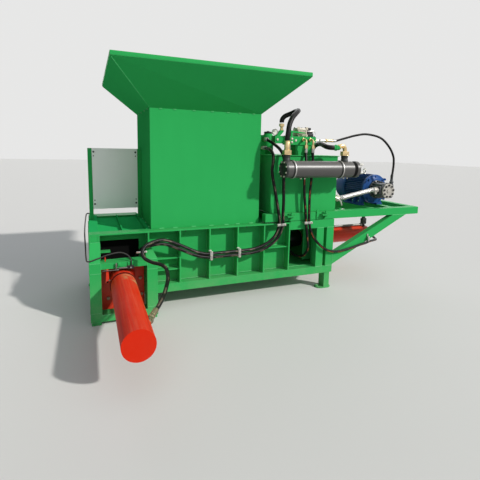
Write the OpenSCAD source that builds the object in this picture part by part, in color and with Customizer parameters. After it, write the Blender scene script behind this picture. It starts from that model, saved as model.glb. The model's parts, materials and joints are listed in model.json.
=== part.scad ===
/* [Base frame] */
// Length of the press base
base_l = 2540; // [2400:10:2700]
// Width of the press base over its ribs
base_w = 1084; // [1040:4:1120]
// Height of the base's top deck above the ground
deck_z = 784; // [760:4:820]
// Height of the bottom beams' underside above the ground
under_z = 184; // [160:4:220]
// Side of the square tube of the bottom beams
beam = 80; // [60:5:100]
// Depth of the flat bar ribs on the long sides
rib_d = 100; // [80:5:120]
// Thickness of the ribs and of the deck ledge
rib_t = 14; // [10:1:20]
// Spacing of the ribs along the long sides
rib_pitch = 294; // [280:2:300]
// Thickness of the chamber's wall and floor plates
plate_t = 12; // [8:1:16]
// Length of the bale chamber at the left end
chamber_l = 488; // [460:4:500]
// Height of the bale chamber's roof plate top above the ground
roof_z = 752; // [730:2:760]

/* [Feed hopper] */
// Length of the hopper's square box
box_l = 1106; // [1000:2:1140]
// Front to back width of the hopper's square box
box_w = 916; // [860:4:940]
// Height of the box's top edge above the ground
box_top_z = 1894; // [1800:2:2000]
// How far the flare spreads past the box at each end
flare_x = 345; // [280:5:400]
// How far the flare spreads past the box at the front and back
flare_y = 368; // [300:4:420]
// Height of the flare's rim above the ground
rim_z = 2266; // [2200:2:2340]
// Height of the rim's vertical lip
lip_h = 36; // [24:2:50]
// Thickness of the hopper's sheet
sheet_t = 5; // [3:1:8]

/* [Control panel] */
// Height of the panel's lower edge above the ground
panel_z = 897; // [860:1:940]
// Height of the panel's upper edge above the ground
panel_top_z = 1521; // [1450:1:1560]
// Distance of the panel's face from the base's front edge
panel_y = 700; // [600:10:780]

/* [Bale ejector] */
// Diameter of the ejector cylinder's barrel
ejector_d = 210; // [180:2:240]
// Length of the ejector barrel in front of its flange
ejector_l = 1342; // [1250:2:1400]
// Height of the ejector cylinder's axis above the ground
ejector_z = 371; // [350:1:390]
// Diameter of the ejector's piston rod
ejector_rod_d = 90; // [70:5:110]
// Width of the portal around the ejector cylinder
portal_w = 572; // [540:4:600]
// Height of the portal's top edge above the ground
portal_top_z = 556; // [540:2:580]
// Depth of the portal in front of the ribs
portal_d = 120; // [100:5:140]

/* [Main ram] */
// Diameter of the main cylinder's barrel
main_d = 194; // [180:2:210]
// Length of the main cylinder's barrel
main_l = 1440; // [1380:10:1480]
// Height of the main cylinder's axis above the ground
main_z = 462; // [440:2:480]
// Diameter of the main piston rod
main_rod_d = 110; // [90:5:120]
// Length of the box shaped platen
platen_l = 330; // [280:10:340]

/* [Hydraulic power pack] */
// Length of the oil tank
tank_l = 810; // [760:10:840]
// Front to back width of the oil tank
tank_w = 800; // [700:10:860]
// Height of the oil tank's body
tank_h = 600; // [560:10:640]
// Length of the oil cooler
cooler_l = 884; // [820:4:940]
// Diameter of the oil cooler
cooler_d = 174; // [160:2:190]
// Height of the motor's shaft above its feet
motor_shaft_h = 180; // [175:5:200]
// Diameter of the motor over its fins
motor_d = 356; // [330:2:370]
// Length of the motor's finned body
motor_l = 370; // [330:10:400]
// Length of the power pack frame from the base's right end
pack_l = 1240; // [1200:10:1300]
// Size of the pack frame's angle iron
pack_beam = 84; // [70:2:100]

/* [Hidden] */

$fn = 48;

// Shared places, measured from the base's front left corner on the ground
mid_y = base_w / 2;
web_y = rib_d;
inner_y0 = web_y + plate_t;
inner_y1 = base_w - inner_y0;
inner_x0 = plate_t;
chamber_x1 = inner_x0 + chamber_l;
floor_z = under_z + plate_t;
rib_xs = [for (i = [0:5]) 498 + i * rib_pitch];
left_rib_xs = [0, 74];
last_rib_x1 = rib_xs[5] + rib_t;
bulkhead_x = base_l - 130;
bulkhead_t = 30;
cheek_l = 120;
cheek_y = 231;
cheek_z = 280;
// The open window in the webs in front of the right bulkhead
window_x1 = bulkhead_x - 88;
window_z0 = under_z + beam;
window_z1 = deck_z - 78;
// The window above the ejector cylinder
ejector_window = [86, 430];
ejector_window_z = [ejector_z + 150, deck_z - 84];
// Level stiffeners between two ribs: the first rib's number and the height
stiffener_y = 20;
stiffener_t = 12;
stiffeners = [[0, 390], [0, 500], [4, 514]];
rail_h = 92;
rail_drop = 80;
box_x = 540;
box_y = (base_w - box_w) / 2;
box_x1 = box_x + box_l;
post_d = 92;
foot_l = 190;
foot_w = 120;
foot_t = 12;
foot_bolts = 150;
foot_hole = 18;
leg_x = base_l - 92;
leg_w = 70;
leg_d = 104;
panel_x = 52;
panel_x1 = panel_x + 447;
panel_t = 30;
panel_post = 40;
sleeve_x1 = chamber_x1 + 40;
sleeve_y1 = base_w + 156;
sill_h = 60;
pipe_d = 28;
ejector_x = 264;
ejector_tail_y = web_y - ejector_l;
ejector_port_y = 28;
flange_t = 26;
flange_z = 56;
portal_x = -6;
portal_x1 = portal_x + portal_w;
portal_post = 94;
portal_bar = 54;
pad_t = 33;
// The sloped arms from the portal's top up to the base's front
left_arm_z = deck_z - 70;
right_arm_z = deck_z - 144;
main_x0 = bulkhead_x - 398;
main_tail_x = main_x0 + main_l;
main_stroke = 1140;
gland_l = 90;
platen_x = box_x1 + 4;
platen_wall = 20;
tank_x = box_x1 + 106;
tank_x1 = tank_x + tank_l;
tank_y = 30;
rail_z = deck_z + 16;
rail_top = rail_z + pack_beam;
pack_x0 = tank_x - 67;
pack_x1 = base_l + pack_l;
lid_t = 8;
lid_lap = 12;
lid_z = rail_top + tank_h;
lid_top = lid_z + lid_t;
ear_w = 96;
ear_d = 56;
ear_t = 12;
ear_z = rail_top - 34;
manifold_x = tank_x + 228;
manifold_x1 = manifold_x + 318;
manifold_y = 80;
manifold_z = lid_top + 108;
manifold_top = manifold_z + 88;
column_xs = [[manifold_x + 81, manifold_x + 182], [manifold_x + 205, manifold_x + 271]];
// The two elbows to the main cylinder, the pump's inlet line and the return tap
elbow_xs = [manifold_x + 157, manifold_x + 242];
elbow_y = 10;
elbow_z = manifold_z + 55;
inlet_y = 200;
inlet_z = manifold_z + 57;
tap_x = manifold_x - 39;
tap_y = 200;
tap_z = manifold_top + 61;
filter_x = tank_x + 148;
filter_y = 440;
port_block_x = tank_x - 8;
port_block_y = 290;
cooler_x = tank_x + 33;
cooler_y = -150;
cooler_z = lid_top - 137;
port_xs = [cooler_x + 37, cooler_x + 724];
port_z = cooler_z + 143;
motor_x = base_l + 740;
motor_y = 245;
motor_base_t = 26;
fin_h = 24;
// The fins stop at the feet and at the terminal box
fin_angles = [for (a = [5:10:355]) if (a < 50 || a > 254 || abs(a - 180) < 28) a];
crossbar_xs = [base_l + 542, base_l + 832, pack_x1 - pack_beam];
pump_y = [12, 124];
motor_z = rail_top + motor_base_t + motor_shaft_h;
clear = 2;

green = [0.18, 0.62, 0.32];
red = [0.80, 0.18, 0.09];
black = [0.07, 0.07, 0.08];
steel = [0.62, 0.62, 0.60];
grey = [0.30, 0.31, 0.33];
blue = [0.10, 0.28, 0.55];
brass = [0.78, 0.64, 0.36];

// Hose routes, one list of points for each hose, from fitting to fitting
hose_d = 32;
ejector_route_a = [
  [1760, 250, 1560], [1760, 225, 1560], [1752, 120, 1552], [1748, 40, 1530], [1740, -20, 1486],
  [1734, -36, 1430], [1728, -34, 1312], [1768, -34, 1129],
  [1820, -34, 888], [1832, -34, 780], [1786, -34, 664], [1690, -34, 588], [1563, -34, 546],
  [1409, -34, 536], [1130, -34, 533], [1068, -34, 533], [1024, -34, 538], [934, -36, 569],
  [768, -50, 654], [625, -80, 714],
  [487, -130, 700], [430, -160, 650], [440, -200, 596], [496, -260, 571], [551, -330, 569],
  [587, -400, 552], [583, -500, 505], [540, -640, 474], [493, -770, 457], [448, -850, 434],
  [410, -910, 420], [399, -929, 416], [388, -948, 412]
];
ejector_route_b = [
  [1776, 250, 1650], [1776, 225, 1650], [1800, 120, 1612], [1838, 20, 1545], [1858, -30, 1460],
  [1862, -36, 1330],
  [1862, -34, 1228], [1870, -34, 1021], [1868, -34, 866],
  [1870, -34, 764], [1814, -34, 636], [1704, -34, 552], [1566, -34, 509], [1409, -34, 500],
  [1130, -34, 497], [1060, -34, 499], [934, -34, 532], [768, -44, 614], [625, -66, 674],
  [500, -70, 666], [440, -26, 630], [404, 20, 570], [378, 28, 516], [354, 28, 476]
];
main_hose_d = 28;
main_route_a = [
  [2137, 10, 1567], [2137, 10, 1530], [2133, -2, 1486], [2122, -28, 1420], [2108, -38, 1330],
  [2106, -36, 1237], [2112, -34, 1130], [2123, -34, 1025], [2148, -34, 831],
  [2160, -32, 740], [2186, -22, 600], [2236, 40, 465], [2218, 110, 370], [2160, 200, 360],
  [2120, 300, 420], [2111, 364, 440], [2110, 384, 440], [2110, 400, 440]
];
main_route_b = [
  [2222, 10, 1567], [2222, 10, 1530], [2217, -2, 1486], [2205, -28, 1420], [2194, -38, 1330],
  [2191, -36, 1236], [2184, -34, 1130], [2181, -34, 1023], [2187, -34, 829],
  [2194, -32, 770], [2218, -30, 690], [2285, -30, 577], [2415, -34, 467], [2570, -24, 425],
  [2749, -18, 442], [2900, -18, 474], [2989, -16, 490], [3070, 20, 494], [3240, 130, 470],
  [3350, 220, 452], [3396, 320, 458], [3400, 390, 462], [3400, 410, 462]
];
pressure_d = 25;
pressure_route = [
  [2600, 200, 1657], [2640, 200, 1657], [2760, 190, 1690], [2900, 165, 1728], [3041, 145, 1744],
  [3206, 105, 1706], [3320, 80, 1605], [3374, 60, 1500], [3380, 50, 1410], [3366, 40, 1320],
  [3350, 32, 1262], [3350, 32, 1234]
];
cooler_hose_d = 50;
cooler_route_a = [
  [1822, -150, 1633], [1822, -150, 1650], [1823, -150, 1672], [1830, -147, 1715], [1848, -134, 1790],
  [1890, -104, 1852], [1950, -60, 1900], [2005, -10, 1932], [2040, 40, 1948], [2045, 100, 1945],
  [2020, 155, 1925], [1976, 190, 1902], [1950, 199, 1874], [1941, 200, 1850], [1941, 200, 1832]
];
cooler_route_b = [
  [2365, -150, 1578], [2350, -150, 1578], [2330, -145, 1579], [2314, -130, 1582],
  [2306, -108, 1587], [2307, -75, 1595], [2314, -35, 1605], [2324, 20, 1614],
  [2336, 90, 1614], [2340, 160, 1594], [2342, 215, 1548], [2342, 232, 1518], [2342, 232, 1492]
];
suction_d = 52;
suction_route = [
  [2660, 110, 1012], [2688, 110, 1012], [2730, 108, 1017], [2800, 100, 1032], [2880, 90, 1050],
  [2970, 76, 1072], [3050, 64, 1092], [3086, 60, 1100], [3112, 60, 1100]
];
cable_d = 12;
cable_x = -34;
cable_route = [
  [12, 720, 850], [0, 720, 850], [-18, 700, 846], [-28, 600, 806], [cable_x, 400, 770],
  [cable_x, 200, 740], [-30, 60, 680],
  [-26, -60, 600], [-10, -110, 580], [77, -100, 600], [160, -90, 622], [250, -84, 630],
  [310, -100, 606], [334, -130, 572], [336, -134, 548], [336, -134, 530]
];

// The origin lies on the ground under the middle of the whole machine
off_x = (cable_x - cable_d / 2 + pack_x1) / 2;
off_y = (ejector_tail_y + box_y + box_w + flare_y) / 2;

function unit(v) = v / norm(v);

// A smooth curve through the route's points, in the manner of Catmull and Rom
function bend(p0, p1, p2, p3, t) =
  0.5 * (2 * p1 + (p2 - p0) * t + (2 * p0 - 5 * p1 + 4 * p2 - p3) * t * t
    + (3 * p1 - p0 - 3 * p2 + p3) * t * t * t);
function curve(pts, steps) = let (n = len(pts)) concat([
  for (i = [0:n - 2]) for (s = [0:steps - 1])
    bend(pts[max(i - 1, 0)], pts[i], pts[i + 1], pts[min(i + 2, n - 1)], s / steps)
], [pts[n - 1]]);

// Each ring's side vector is the last ring's, leaned over with the curve
function lean(side, dir) = unit(side - (side * dir) * dir);
function headings(pts, first, last) = let (n = len(pts)) concat(
  [unit(first)], [for (i = [1:n - 2]) unit(pts[i + 1] - pts[i - 1])], [unit(last)]);
function sides(dirs, i, last, out) =
  i == len(dirs) ? out : let (s = lean(last, dirs[i])) sides(dirs, i + 1, s, concat(out, [s]));

module tube_along(pts, d, steps = 3, n = 10) {
  path = curve(pts, steps);
  end = len(pts) - 1;
  dirs = headings(path, pts[1] - pts[0], pts[end] - pts[end - 1]);
  start = abs(dirs[0].z) < 0.9 ? [0, 0, 1] : [1, 0, 0];
  right = sides(dirs, 0, start, []);
  rings = len(path);
  points = [
    for (i = [0:rings - 1]) let (r = right[i], u = cross(dirs[i], r))
      for (k = [0:n - 1]) path[i] + d / 2 * (cos(360 * k / n) * r + sin(360 * k / n) * u)
  ];
  walls = [
    for (i = [0:rings - 2]) for (k = [0:n - 1]) let (m = (k + 1) % n)
      [i * n + k, (i + 1) * n + k, (i + 1) * n + m, i * n + m]
  ];
  ends = [[for (k = [0:n - 1]) k], [for (k = [n - 1:-1:0]) (rings - 1) * n + k]];
  polyhedron(points, concat(walls, ends), convexity = 8);
}

module block(x0, x1, y0, y1, z0, z1) {
  translate([x0, y0, z0]) cube([x1 - x0, y1 - y0, z1 - z0]);
}

module rod_x(x0, x1, y, z, d) {
  translate([x0, y, z]) rotate([0, 90, 0]) cylinder(d = d, h = x1 - x0);
}

module rod_y(x, y0, y1, z, d) {
  translate([x, y1, z]) rotate([90, 0, 0]) cylinder(d = d, h = y1 - y0);
}

module rod_z(x, y, z0, z1, d) {
  translate([x, y, z0]) cylinder(d = d, h = z1 - z0);
}

// A straight cylinder between any two points
module rod_between(a, b, d) {
  v = b - a;
  translate(a) rotate([0, acos(v.z / norm(v)), atan2(v.y, v.x)]) cylinder(d = d, h = norm(v));
}

// Mirrors a piece of the front side onto the back side
module on_both_sides() {
  children();
  translate([0, base_w, 0]) mirror([0, 1, 0]) children();
}

module at_back() {
  translate([0, base_w, 0]) mirror([0, 1, 0]) children();
}

module in_place() {
  translate([-off_x, -off_y, 0]) children();
}

module base_beams() color(green) in_place() {
  block(portal_x1 - portal_post, base_l, 0, beam, under_z, under_z + beam);
  at_back() block(sleeve_x1 + 10, base_l, 0, beam, under_z, under_z + beam);
}

module front_web() color(green) in_place() difference() {
  block(0, bulkhead_x, web_y, web_y + plate_t, under_z, deck_z - rib_t);
  block(ejector_window[0], ejector_window[1], web_y - 1, web_y + plate_t + 1,
    ejector_window_z[0], ejector_window_z[1]);
  rod_y(ejector_x, web_y - 1, web_y + plate_t + 1, ejector_z, ejector_d + 8);
  block(last_rib_x1, window_x1, web_y - 1, web_y + plate_t + 1, window_z0, window_z1);
}

module rib_row(xs, z0) {
  for (x = xs) block(x, x + rib_t, 0, web_y, z0, deck_z - rib_t);
}

module front_ribs() color(green) in_place() {
  rib_row(concat(left_rib_xs, rib_xs), under_z + beam);
  // The face plate that makes a closed post of the two ribs at the left end
  block(left_rib_xs[0] + rib_t, left_rib_xs[1], 2, 2 + plate_t, under_z + beam, deck_z - rib_t);
}

module front_ledge() color(green) in_place()
  block(0, last_rib_x1, 0, web_y + plate_t, deck_z - rib_t, deck_z);

module front_stiffeners() color(green) in_place()
  for (s = stiffeners)
    block(rib_xs[s[0]] + rib_t, rib_xs[s[0] + 1], stiffener_y, web_y, s[1], s[1] + stiffener_t);

module back_web() color(green) in_place() difference() {
  at_back() block(0, bulkhead_x, web_y, web_y + plate_t, under_z, deck_z - rib_t);
  block(inner_x0, chamber_x1, inner_y1 - 1, inner_y1 + plate_t + 1, floor_z, roof_z - plate_t);
}

module back_ribs() color(green) in_place()
  at_back() rib_row([for (i = [1:5]) rib_xs[i]], under_z + beam);

module back_ledge() color(green) in_place()
  at_back() block(sleeve_x1 + 10, last_rib_x1, 0, web_y + plate_t, deck_z - rib_t, deck_z);

module chamber_floor() color(green) in_place()
  block(inner_x0, bulkhead_x, inner_y0, inner_y1, under_z, floor_z);

module chamber_roof() color(green) in_place() {
  block(inner_x0, chamber_x1, inner_y0, inner_y1, roof_z - plate_t, roof_z);
  // A stiffener, the left edge plate and the blunt knife bar at the hopper
  block(box_x - 254, box_x - 242, inner_y0, inner_y1, roof_z, deck_z - 4);
  block(0, 84, inner_y0, inner_y1, roof_z, deck_z);
  block(chamber_x1, box_x, inner_y0, inner_y1, roof_z - plate_t, deck_z);
}

module left_end_wall() color(green) in_place() {
  block(0, inner_x0, inner_y0, inner_y1, under_z, roof_z);
  for (y = [330, 540, 750]) block(-6, 0, y, y + 70, under_z, roof_z);
}

// The plate that carries the main cylinder, with a stiffening cheek on each side of it
module end_bulkhead() color(green) in_place() difference() {
  union() {
    block(bulkhead_x, bulkhead_x + bulkhead_t, 54, base_w - 54, under_z + beam, deck_z - rail_drop);
    on_both_sides() block(bulkhead_x - cheek_l, bulkhead_x, cheek_y, cheek_y + plate_t, cheek_z,
      deck_z - rail_drop);
  }
  rod_x(bulkhead_x - 1, bulkhead_x + bulkhead_t + 1, mid_y, main_z, main_d + 6);
}

module end_posts() color(green) in_place() on_both_sides()
  for (x1 = [bulkhead_x, base_l])
    block(x1 - post_d, x1, 0, beam, under_z + beam, deck_z - rail_drop);

module top_rails() color(green) in_place() on_both_sides()
  block(last_rib_x1, base_l, 0, web_y - 10, deck_z - rail_drop, deck_z - rail_drop + rail_h);

module deck_plate() color(green) in_place() {
  block(box_x1 + 1, bulkhead_x, inner_y0, inner_y1, deck_z - rib_t, deck_z);
  // The wiper bar over the platen
  block(box_x1 + 1, box_x1 + 41, inner_y0, inner_y1, roof_z - plate_t, deck_z - rib_t);
}

// A foot plate with round ends
module foot_plate(x, y) {
  end_x = (foot_l - foot_w) / 2;
  difference() {
    union() {
      block(x - end_x, x + end_x, y - foot_w / 2, y + foot_w / 2, 0, foot_t);
      for (sx = [-1, 1]) rod_z(x + sx * end_x, y, 0, foot_t, foot_w);
    }
    for (sx = [-1, 1]) rod_z(x + sx * foot_bolts / 2, y, -1, foot_t + 1, foot_hole);
  }
}

module feet() color(green) in_place() {
  on_both_sides() {
    difference() {
      block(leg_x, leg_x + leg_w, 8, 8 + leg_d, foot_t, under_z);
      block(leg_x + 6, leg_x + leg_w - 6, 14, 2 + leg_d, foot_t - 1, under_z - 12);
    }
    foot_plate(base_l - 78, 60);
  }
  at_back() {
    block(20, 120, 124, 204, foot_t, under_z);
    foot_plate(70, 164);
  }
}

module hopper_box() color(green) in_place() difference() {
  block(box_x, box_x1, box_y, box_y + box_w, deck_z, box_top_z);
  block(box_x + sheet_t, box_x1 - sheet_t, box_y + sheet_t, box_y + box_w - sheet_t,
    deck_z - 1, box_top_z + 1);
}

module flare_solid(grow, z0, z1) {
  hull() {
    block(box_x + grow, box_x1 - grow, box_y + grow, box_y + box_w - grow, z0, z0 + 0.5);
    block(box_x - flare_x + grow, box_x1 + flare_x - grow, box_y - flare_y + grow,
      box_y + box_w + flare_y - grow, z1 - 0.5, z1);
  }
}

module hopper_flare() color(green) in_place() difference() {
  flare_solid(0, box_top_z, rim_z - lip_h);
  flare_solid(sheet_t, box_top_z - 0.2, rim_z - lip_h + 0.2);
}

module hopper_rim() color(green) in_place() difference() {
  block(box_x - flare_x, box_x1 + flare_x, box_y - flare_y, box_y + box_w + flare_y,
    rim_z - lip_h, rim_z);
  block(box_x - flare_x + sheet_t, box_x1 + flare_x - sheet_t, box_y - flare_y + sheet_t,
    box_y + box_w + flare_y - sheet_t, rim_z - lip_h - 1, rim_z + 1);
}

module panel_posts() color(green) in_place()
  for (x = [panel_x - panel_post, panel_x1])
    block(x, x + panel_post, panel_y, panel_y + panel_post, deck_z, panel_top_z);

module control_panel() color([0.66, 0.69, 0.67]) in_place()
  block(panel_x, panel_x1, panel_y, panel_y + panel_t, panel_z, panel_top_z);

module outlet_sleeve() color(green) in_place() difference() {
  block(0, sleeve_x1, inner_y1 + plate_t, sleeve_y1, under_z, roof_z);
  block(inner_x0, chamber_x1, inner_y1, sleeve_y1 + 1, floor_z, roof_z - plate_t);
}

module ejector_portal() color(green) in_place() {
  inside = [portal_x + portal_post, portal_x1 - portal_post];
  for (x = [portal_x, inside[1]]) block(x, x + portal_post, -portal_d, 0, pad_t, portal_top_z);
  block(inside[0], inside[1], -portal_d, 0, portal_top_z - portal_bar, portal_top_z);
  block(inside[0], inside[1], -portal_d, 0, pad_t, pad_t + sill_h);
  for (x = [portal_x + 7, inside[1] + 7]) block(x, x + 80, -portal_d + 10, -10, 0, pad_t);
}

// A sloped arm: its width along the base, at the portal and at the base's front
module arm(x0, x1, top_x0, top_x1, top_z) {
  hull() {
    block(x0, x1, -portal_d, 0, portal_top_z, portal_top_z + 0.5);
    block(top_x0, top_x1, -10, 0, portal_top_z, top_z);
  }
}

module portal_arms() color(green) in_place() {
  arm(portal_x, portal_x + portal_post - 4, portal_x + 10, left_rib_xs[1] + rib_t, left_arm_z);
  arm(portal_x1 - portal_post - 10, portal_x1, rib_xs[0] - 20, rib_xs[0] + 27, right_arm_z);
  // The stub in front of the ejector window
  block(left_rib_xs[1] + rib_t, left_rib_xs[1] + rib_t + 87, web_y - 60, web_y, 604, 616);
}

module ejector_flange() color(red) in_place() difference() {
  block(left_rib_xs[1] + rib_t + 2, portal_x1 - portal_post - 2, web_y - flange_t, web_y, flange_z,
    ejector_z + 148);
  rod_y(ejector_x, web_y - flange_t - 1, web_y + 1, ejector_z, ejector_d + 2);
}

module ejector_barrel() color(red) in_place() difference() {
  union() {
    rod_y(ejector_x, ejector_tail_y, web_y, ejector_z, ejector_d);
    rod_y(ejector_x, web_y - 2 * flange_t + 2, web_y - flange_t, ejector_z, ejector_d + 34);
    rod_between([ejector_x, ejector_port_y, ejector_z], [346, ejector_port_y, 460], 44);
    rod_between([340, -1031, 394.5], [387.7, -948.5, 411.9], 40);
  }
  rod_y(ejector_x, ejector_tail_y + 40, web_y - 80, ejector_z, ejector_d - 30);
  rod_y(ejector_x, web_y - 81, web_y + 1, ejector_z, ejector_rod_d + 2);
}

module limit_switch() color(grey) in_place()
  block(300, 360, -portal_d - 24, -portal_d, 492, 530);

module main_barrel() color(red) in_place() difference() {
  union() {
    rod_x(main_x0, main_tail_x, mid_y, main_z, main_d);
    rod_x(bulkhead_x + bulkhead_t, bulkhead_x + bulkhead_t + 40, mid_y, main_z, main_d + 90);
    rod_y(3400, 410, mid_y, main_z, 50);
    rod_y(2110, 400, mid_y, 440, 44);
  }
  rod_x(main_x0 + gland_l, main_tail_x - 40, mid_y, main_z, main_d - 34);
  rod_x(main_x0 - 1, main_x0 + gland_l + 1, mid_y, main_z, main_rod_d + 2);
}

module main_port_pipe() color(steel) in_place() {
  top = main_z + main_d / 2;
  rod_x(base_l + 40, main_tail_x - 66, mid_y, top + pipe_d / 2, pipe_d);
  // The check valve block on the tail
  block(main_tail_x - 68, main_tail_x - 8, mid_y - 26, mid_y + 26, top, top + 136);
}

module pack_rails() color(green) in_place() on_both_sides()
  block(pack_x0, pack_x1, 0, pack_beam, rail_z, rail_top);

module pack_crossbars() color(green) in_place()
  for (x = crossbar_xs)
    block(x, x + pack_beam - 4, pack_beam, base_w - pack_beam, rail_z, rail_top);

module brace_shape() {
  translate([0, 70, 0]) rotate([90, 0, 0]) linear_extrude(70)
    polygon([[base_l, 273], [base_l, 391], [base_l + 840, rail_z], [base_l + 1050, rail_z]]);
}

module pack_braces() color(green) in_place() on_both_sides() brace_shape();

module oil_tank() color(green) in_place()
  block(tank_x, tank_x1, tank_y, tank_y + tank_w, rail_top, lid_z);

module tank_lid() color(green) in_place()
  block(tank_x - lid_lap, tank_x1 + lid_lap, tank_y - lid_lap, tank_y + tank_w + lid_lap, lid_z, lid_top);

// An ear on the rail with its gusset below and the hold-down bolt through it
module tank_ear(x) {
  block(x, x + ear_w, -ear_d, 0, ear_z, ear_z + ear_t);
  translate([x + ear_w / 2 - ear_t / 2, 0, ear_z]) rotate([90, 0, 90]) linear_extrude(ear_t)
    polygon([[0, 0], [-ear_d + 6, 0], [0, rail_z - ear_z]]);
  rod_z(x + ear_w * 0.6, -ear_d / 2, ear_z - 10, rail_top + 14, 20);
}

module tank_feet() color(green) in_place() {
  tank_ear(tank_x + 166);
  tank_ear(tank_x + 594);
  // The lifting lug on the rail
  hull() {
    block(tank_x + 546, tank_x + 571, -10, 0, rail_z + 6, rail_z + 30);
    rod_y(tank_x + 558.5, -10, 0, rail_top + 12, 25);
  }
  // The tank's own feet, inside the rails
  for (x = [tank_x + 60, tank_x1 - 120])
    block(x, x + 60, pack_beam, base_w - pack_beam, rail_top - 40, rail_top);
}

module valve_stand() color(green) in_place() {
  for (x = column_xs) block(x[0], x[1], manifold_y + 10, manifold_y + 130, lid_top, manifold_z);
  difference() {
    block(manifold_x, manifold_x1, manifold_y, manifold_y + 160, manifold_z, manifold_top);
    // The slanted corner at the inlet
    translate([manifold_x1, manifold_y - 1, manifold_z]) rotate([0, 45, 0]) translate([-14, 0, -14])
      cube([28, 162, 28]);
  }
  // The return valve beside the manifold, with its neck up to the tap
  block(manifold_x - 137, manifold_x, manifold_y + 70, manifold_y + 160, manifold_z + 12, manifold_top + 2);
  hull() {
    rod_y(tap_x - 50, tap_y - 20, tap_y + 20, manifold_top, 36);
    block(tap_x - 20, tap_x + 20, tap_y - 20, tap_y + 20, tap_z - 6, tap_z);
  }
  // The hand lever over the manifold
  block(manifold_x + 14, manifold_x + 34, manifold_y + 6, manifold_y + 26, manifold_top, manifold_top + 44);
  hull() {
    rod_y(manifold_x + 12, manifold_y + 4, manifold_y + 28, manifold_top + 50, 20);
    rod_y(manifold_x + 184, manifold_y + 8, manifold_y + 24, manifold_top + 38, 10);
  }
  // The port block of the two ejector hoses and the return filter beside it
  block(port_block_x, port_block_x + 56, port_block_y, port_block_y + 80, lid_top, lid_top + 206);
  rod_z(filter_x, filter_y, lid_top, lid_top + 196, 126);
  translate([filter_x, filter_y, lid_top + 196]) cylinder(d1 = 126, d2 = 64, h = 52);
}

// The solenoid coil and the pressure valve on the manifold
module valve_stack() color([0.80, 0.76, 0.66]) in_place() {
  block(manifold_x + 114, manifold_x + 230, manifold_y + 40, manifold_y + 150, manifold_top,
    manifold_top + 93);
  block(manifold_x + 236, manifold_x + 314, manifold_y + 40, manifold_y + 130, manifold_top,
    manifold_top + 40);
  rod_x(manifold_x + 236, manifold_x + 322, manifold_y + 85, manifold_top + 50, 44);
}

module pressure_gauge() color(steel) in_place() {
  x = manifold_x - 120;
  rod_y(x, tap_y - 12, tap_y + 12, manifold_top + 44, 63);
  rod_z(x, tap_y, manifold_top + 2, manifold_top + 20, 16);
}

module oil_cooler() color(grey) in_place() {
  rod_x(cooler_x, cooler_x + cooler_l, cooler_y, cooler_z, cooler_d);
  // The clamped flanges of the two end caps
  for (x = [cooler_x + 96, cooler_x + cooler_l - 120])
    rod_x(x, x + 24, cooler_y, cooler_z, cooler_d + 14);
  // The water nozzles of the right end cap
  for (dz = [-36, 50])
    rod_x(cooler_x + cooler_l, cooler_x + cooler_l + 84, cooler_y, cooler_z + dz, 34);
}

module cooler_ports() color(brass) in_place() difference() {
  union() {
    rod_z(port_xs[0], cooler_y, cooler_z, port_z, 66);
    rod_z(port_xs[0], cooler_y, port_z, port_z + 48, 78);
    rod_z(port_xs[0], cooler_y, port_z + 48, port_z + 134.5, 60);
    rod_z(port_xs[1], cooler_y, cooler_z, port_z, 66);
    rod_z(port_xs[1], cooler_y, port_z, port_z + 50, 78);
    // The elbow towards the tank
    rod_z(port_xs[1], cooler_y, port_z + 50, port_z + 102, 50);
    rod_x(port_xs[1] - 143.5, port_xs[1], cooler_y, port_z + 80, 50);
  }
  rod_x(cooler_x, cooler_x + cooler_l, cooler_y, cooler_z, cooler_d + 0.2);
}

module cooler_brackets() color(green) in_place() difference() {
  for (x = [cooler_x + 160, cooler_x + cooler_l - 200])
    block(x, x + 50, cooler_y, tank_y, cooler_z - 60, cooler_z + 20);
  rod_x(cooler_x, cooler_x + cooler_l, cooler_y, cooler_z, cooler_d + 0.4);
}

// The ribbed housing: a core with cooling fins all round
module motor_body() color(blue) in_place() {
  rod_y(motor_x, motor_y, motor_y + motor_l, motor_z, motor_d - 2 * fin_h);
  for (a = fin_angles) translate([motor_x, motor_y + 14, motor_z]) rotate([0, a, 0])
    block(-3, 3, 0, motor_l - 28, motor_d / 2 - fin_h - 4, motor_d / 2);
  // The rear ring and the front end shield
  rod_y(motor_x, motor_y + motor_l - 18, motor_y + motor_l, motor_z, motor_d);
  rod_y(motor_x, motor_y, motor_y + 14, motor_z, motor_d);
  translate([motor_x, motor_y, motor_z]) rotate([90, 0, 0])
    cylinder(d1 = motor_d, d2 = motor_d - 100, h = 42);
}

module motor_feet() color(blue) in_place() difference() {
  for (sx = [-1, 1]) block(motor_x + sx * 140 - 40, motor_x + sx * 140 + 40,
    motor_y + 30, motor_y + motor_l - 30, rail_top, motor_z - 60);
  rod_y(motor_x, motor_y, motor_y + motor_l, motor_z, motor_d - 2 * fin_h + 0.2);
}

// The fan cowl, with ring slots in its grille
module motor_cowl() color(blue) in_place() {
  end_y = motor_y + motor_l + 170;
  difference() {
    rod_y(motor_x, motor_y + motor_l, end_y, motor_z, motor_d + 8);
    for (d = [90, 150, 210, 270]) difference() {
      rod_y(motor_x, end_y - 12, end_y + 1, motor_z, d + 24);
      rod_y(motor_x, end_y - 13, end_y + 2, motor_z, d);
    }
  }
}

module terminal_box() color(blue) in_place() difference() {
  block(motor_x + 130, motor_x + motor_d / 2 + 76, motor_y + 110, motor_y + 290, motor_z - 40,
    motor_z + 90);
  rod_y(motor_x, motor_y, motor_y + motor_l, motor_z, motor_d - 2 * fin_h + 0.2);
}

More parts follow.
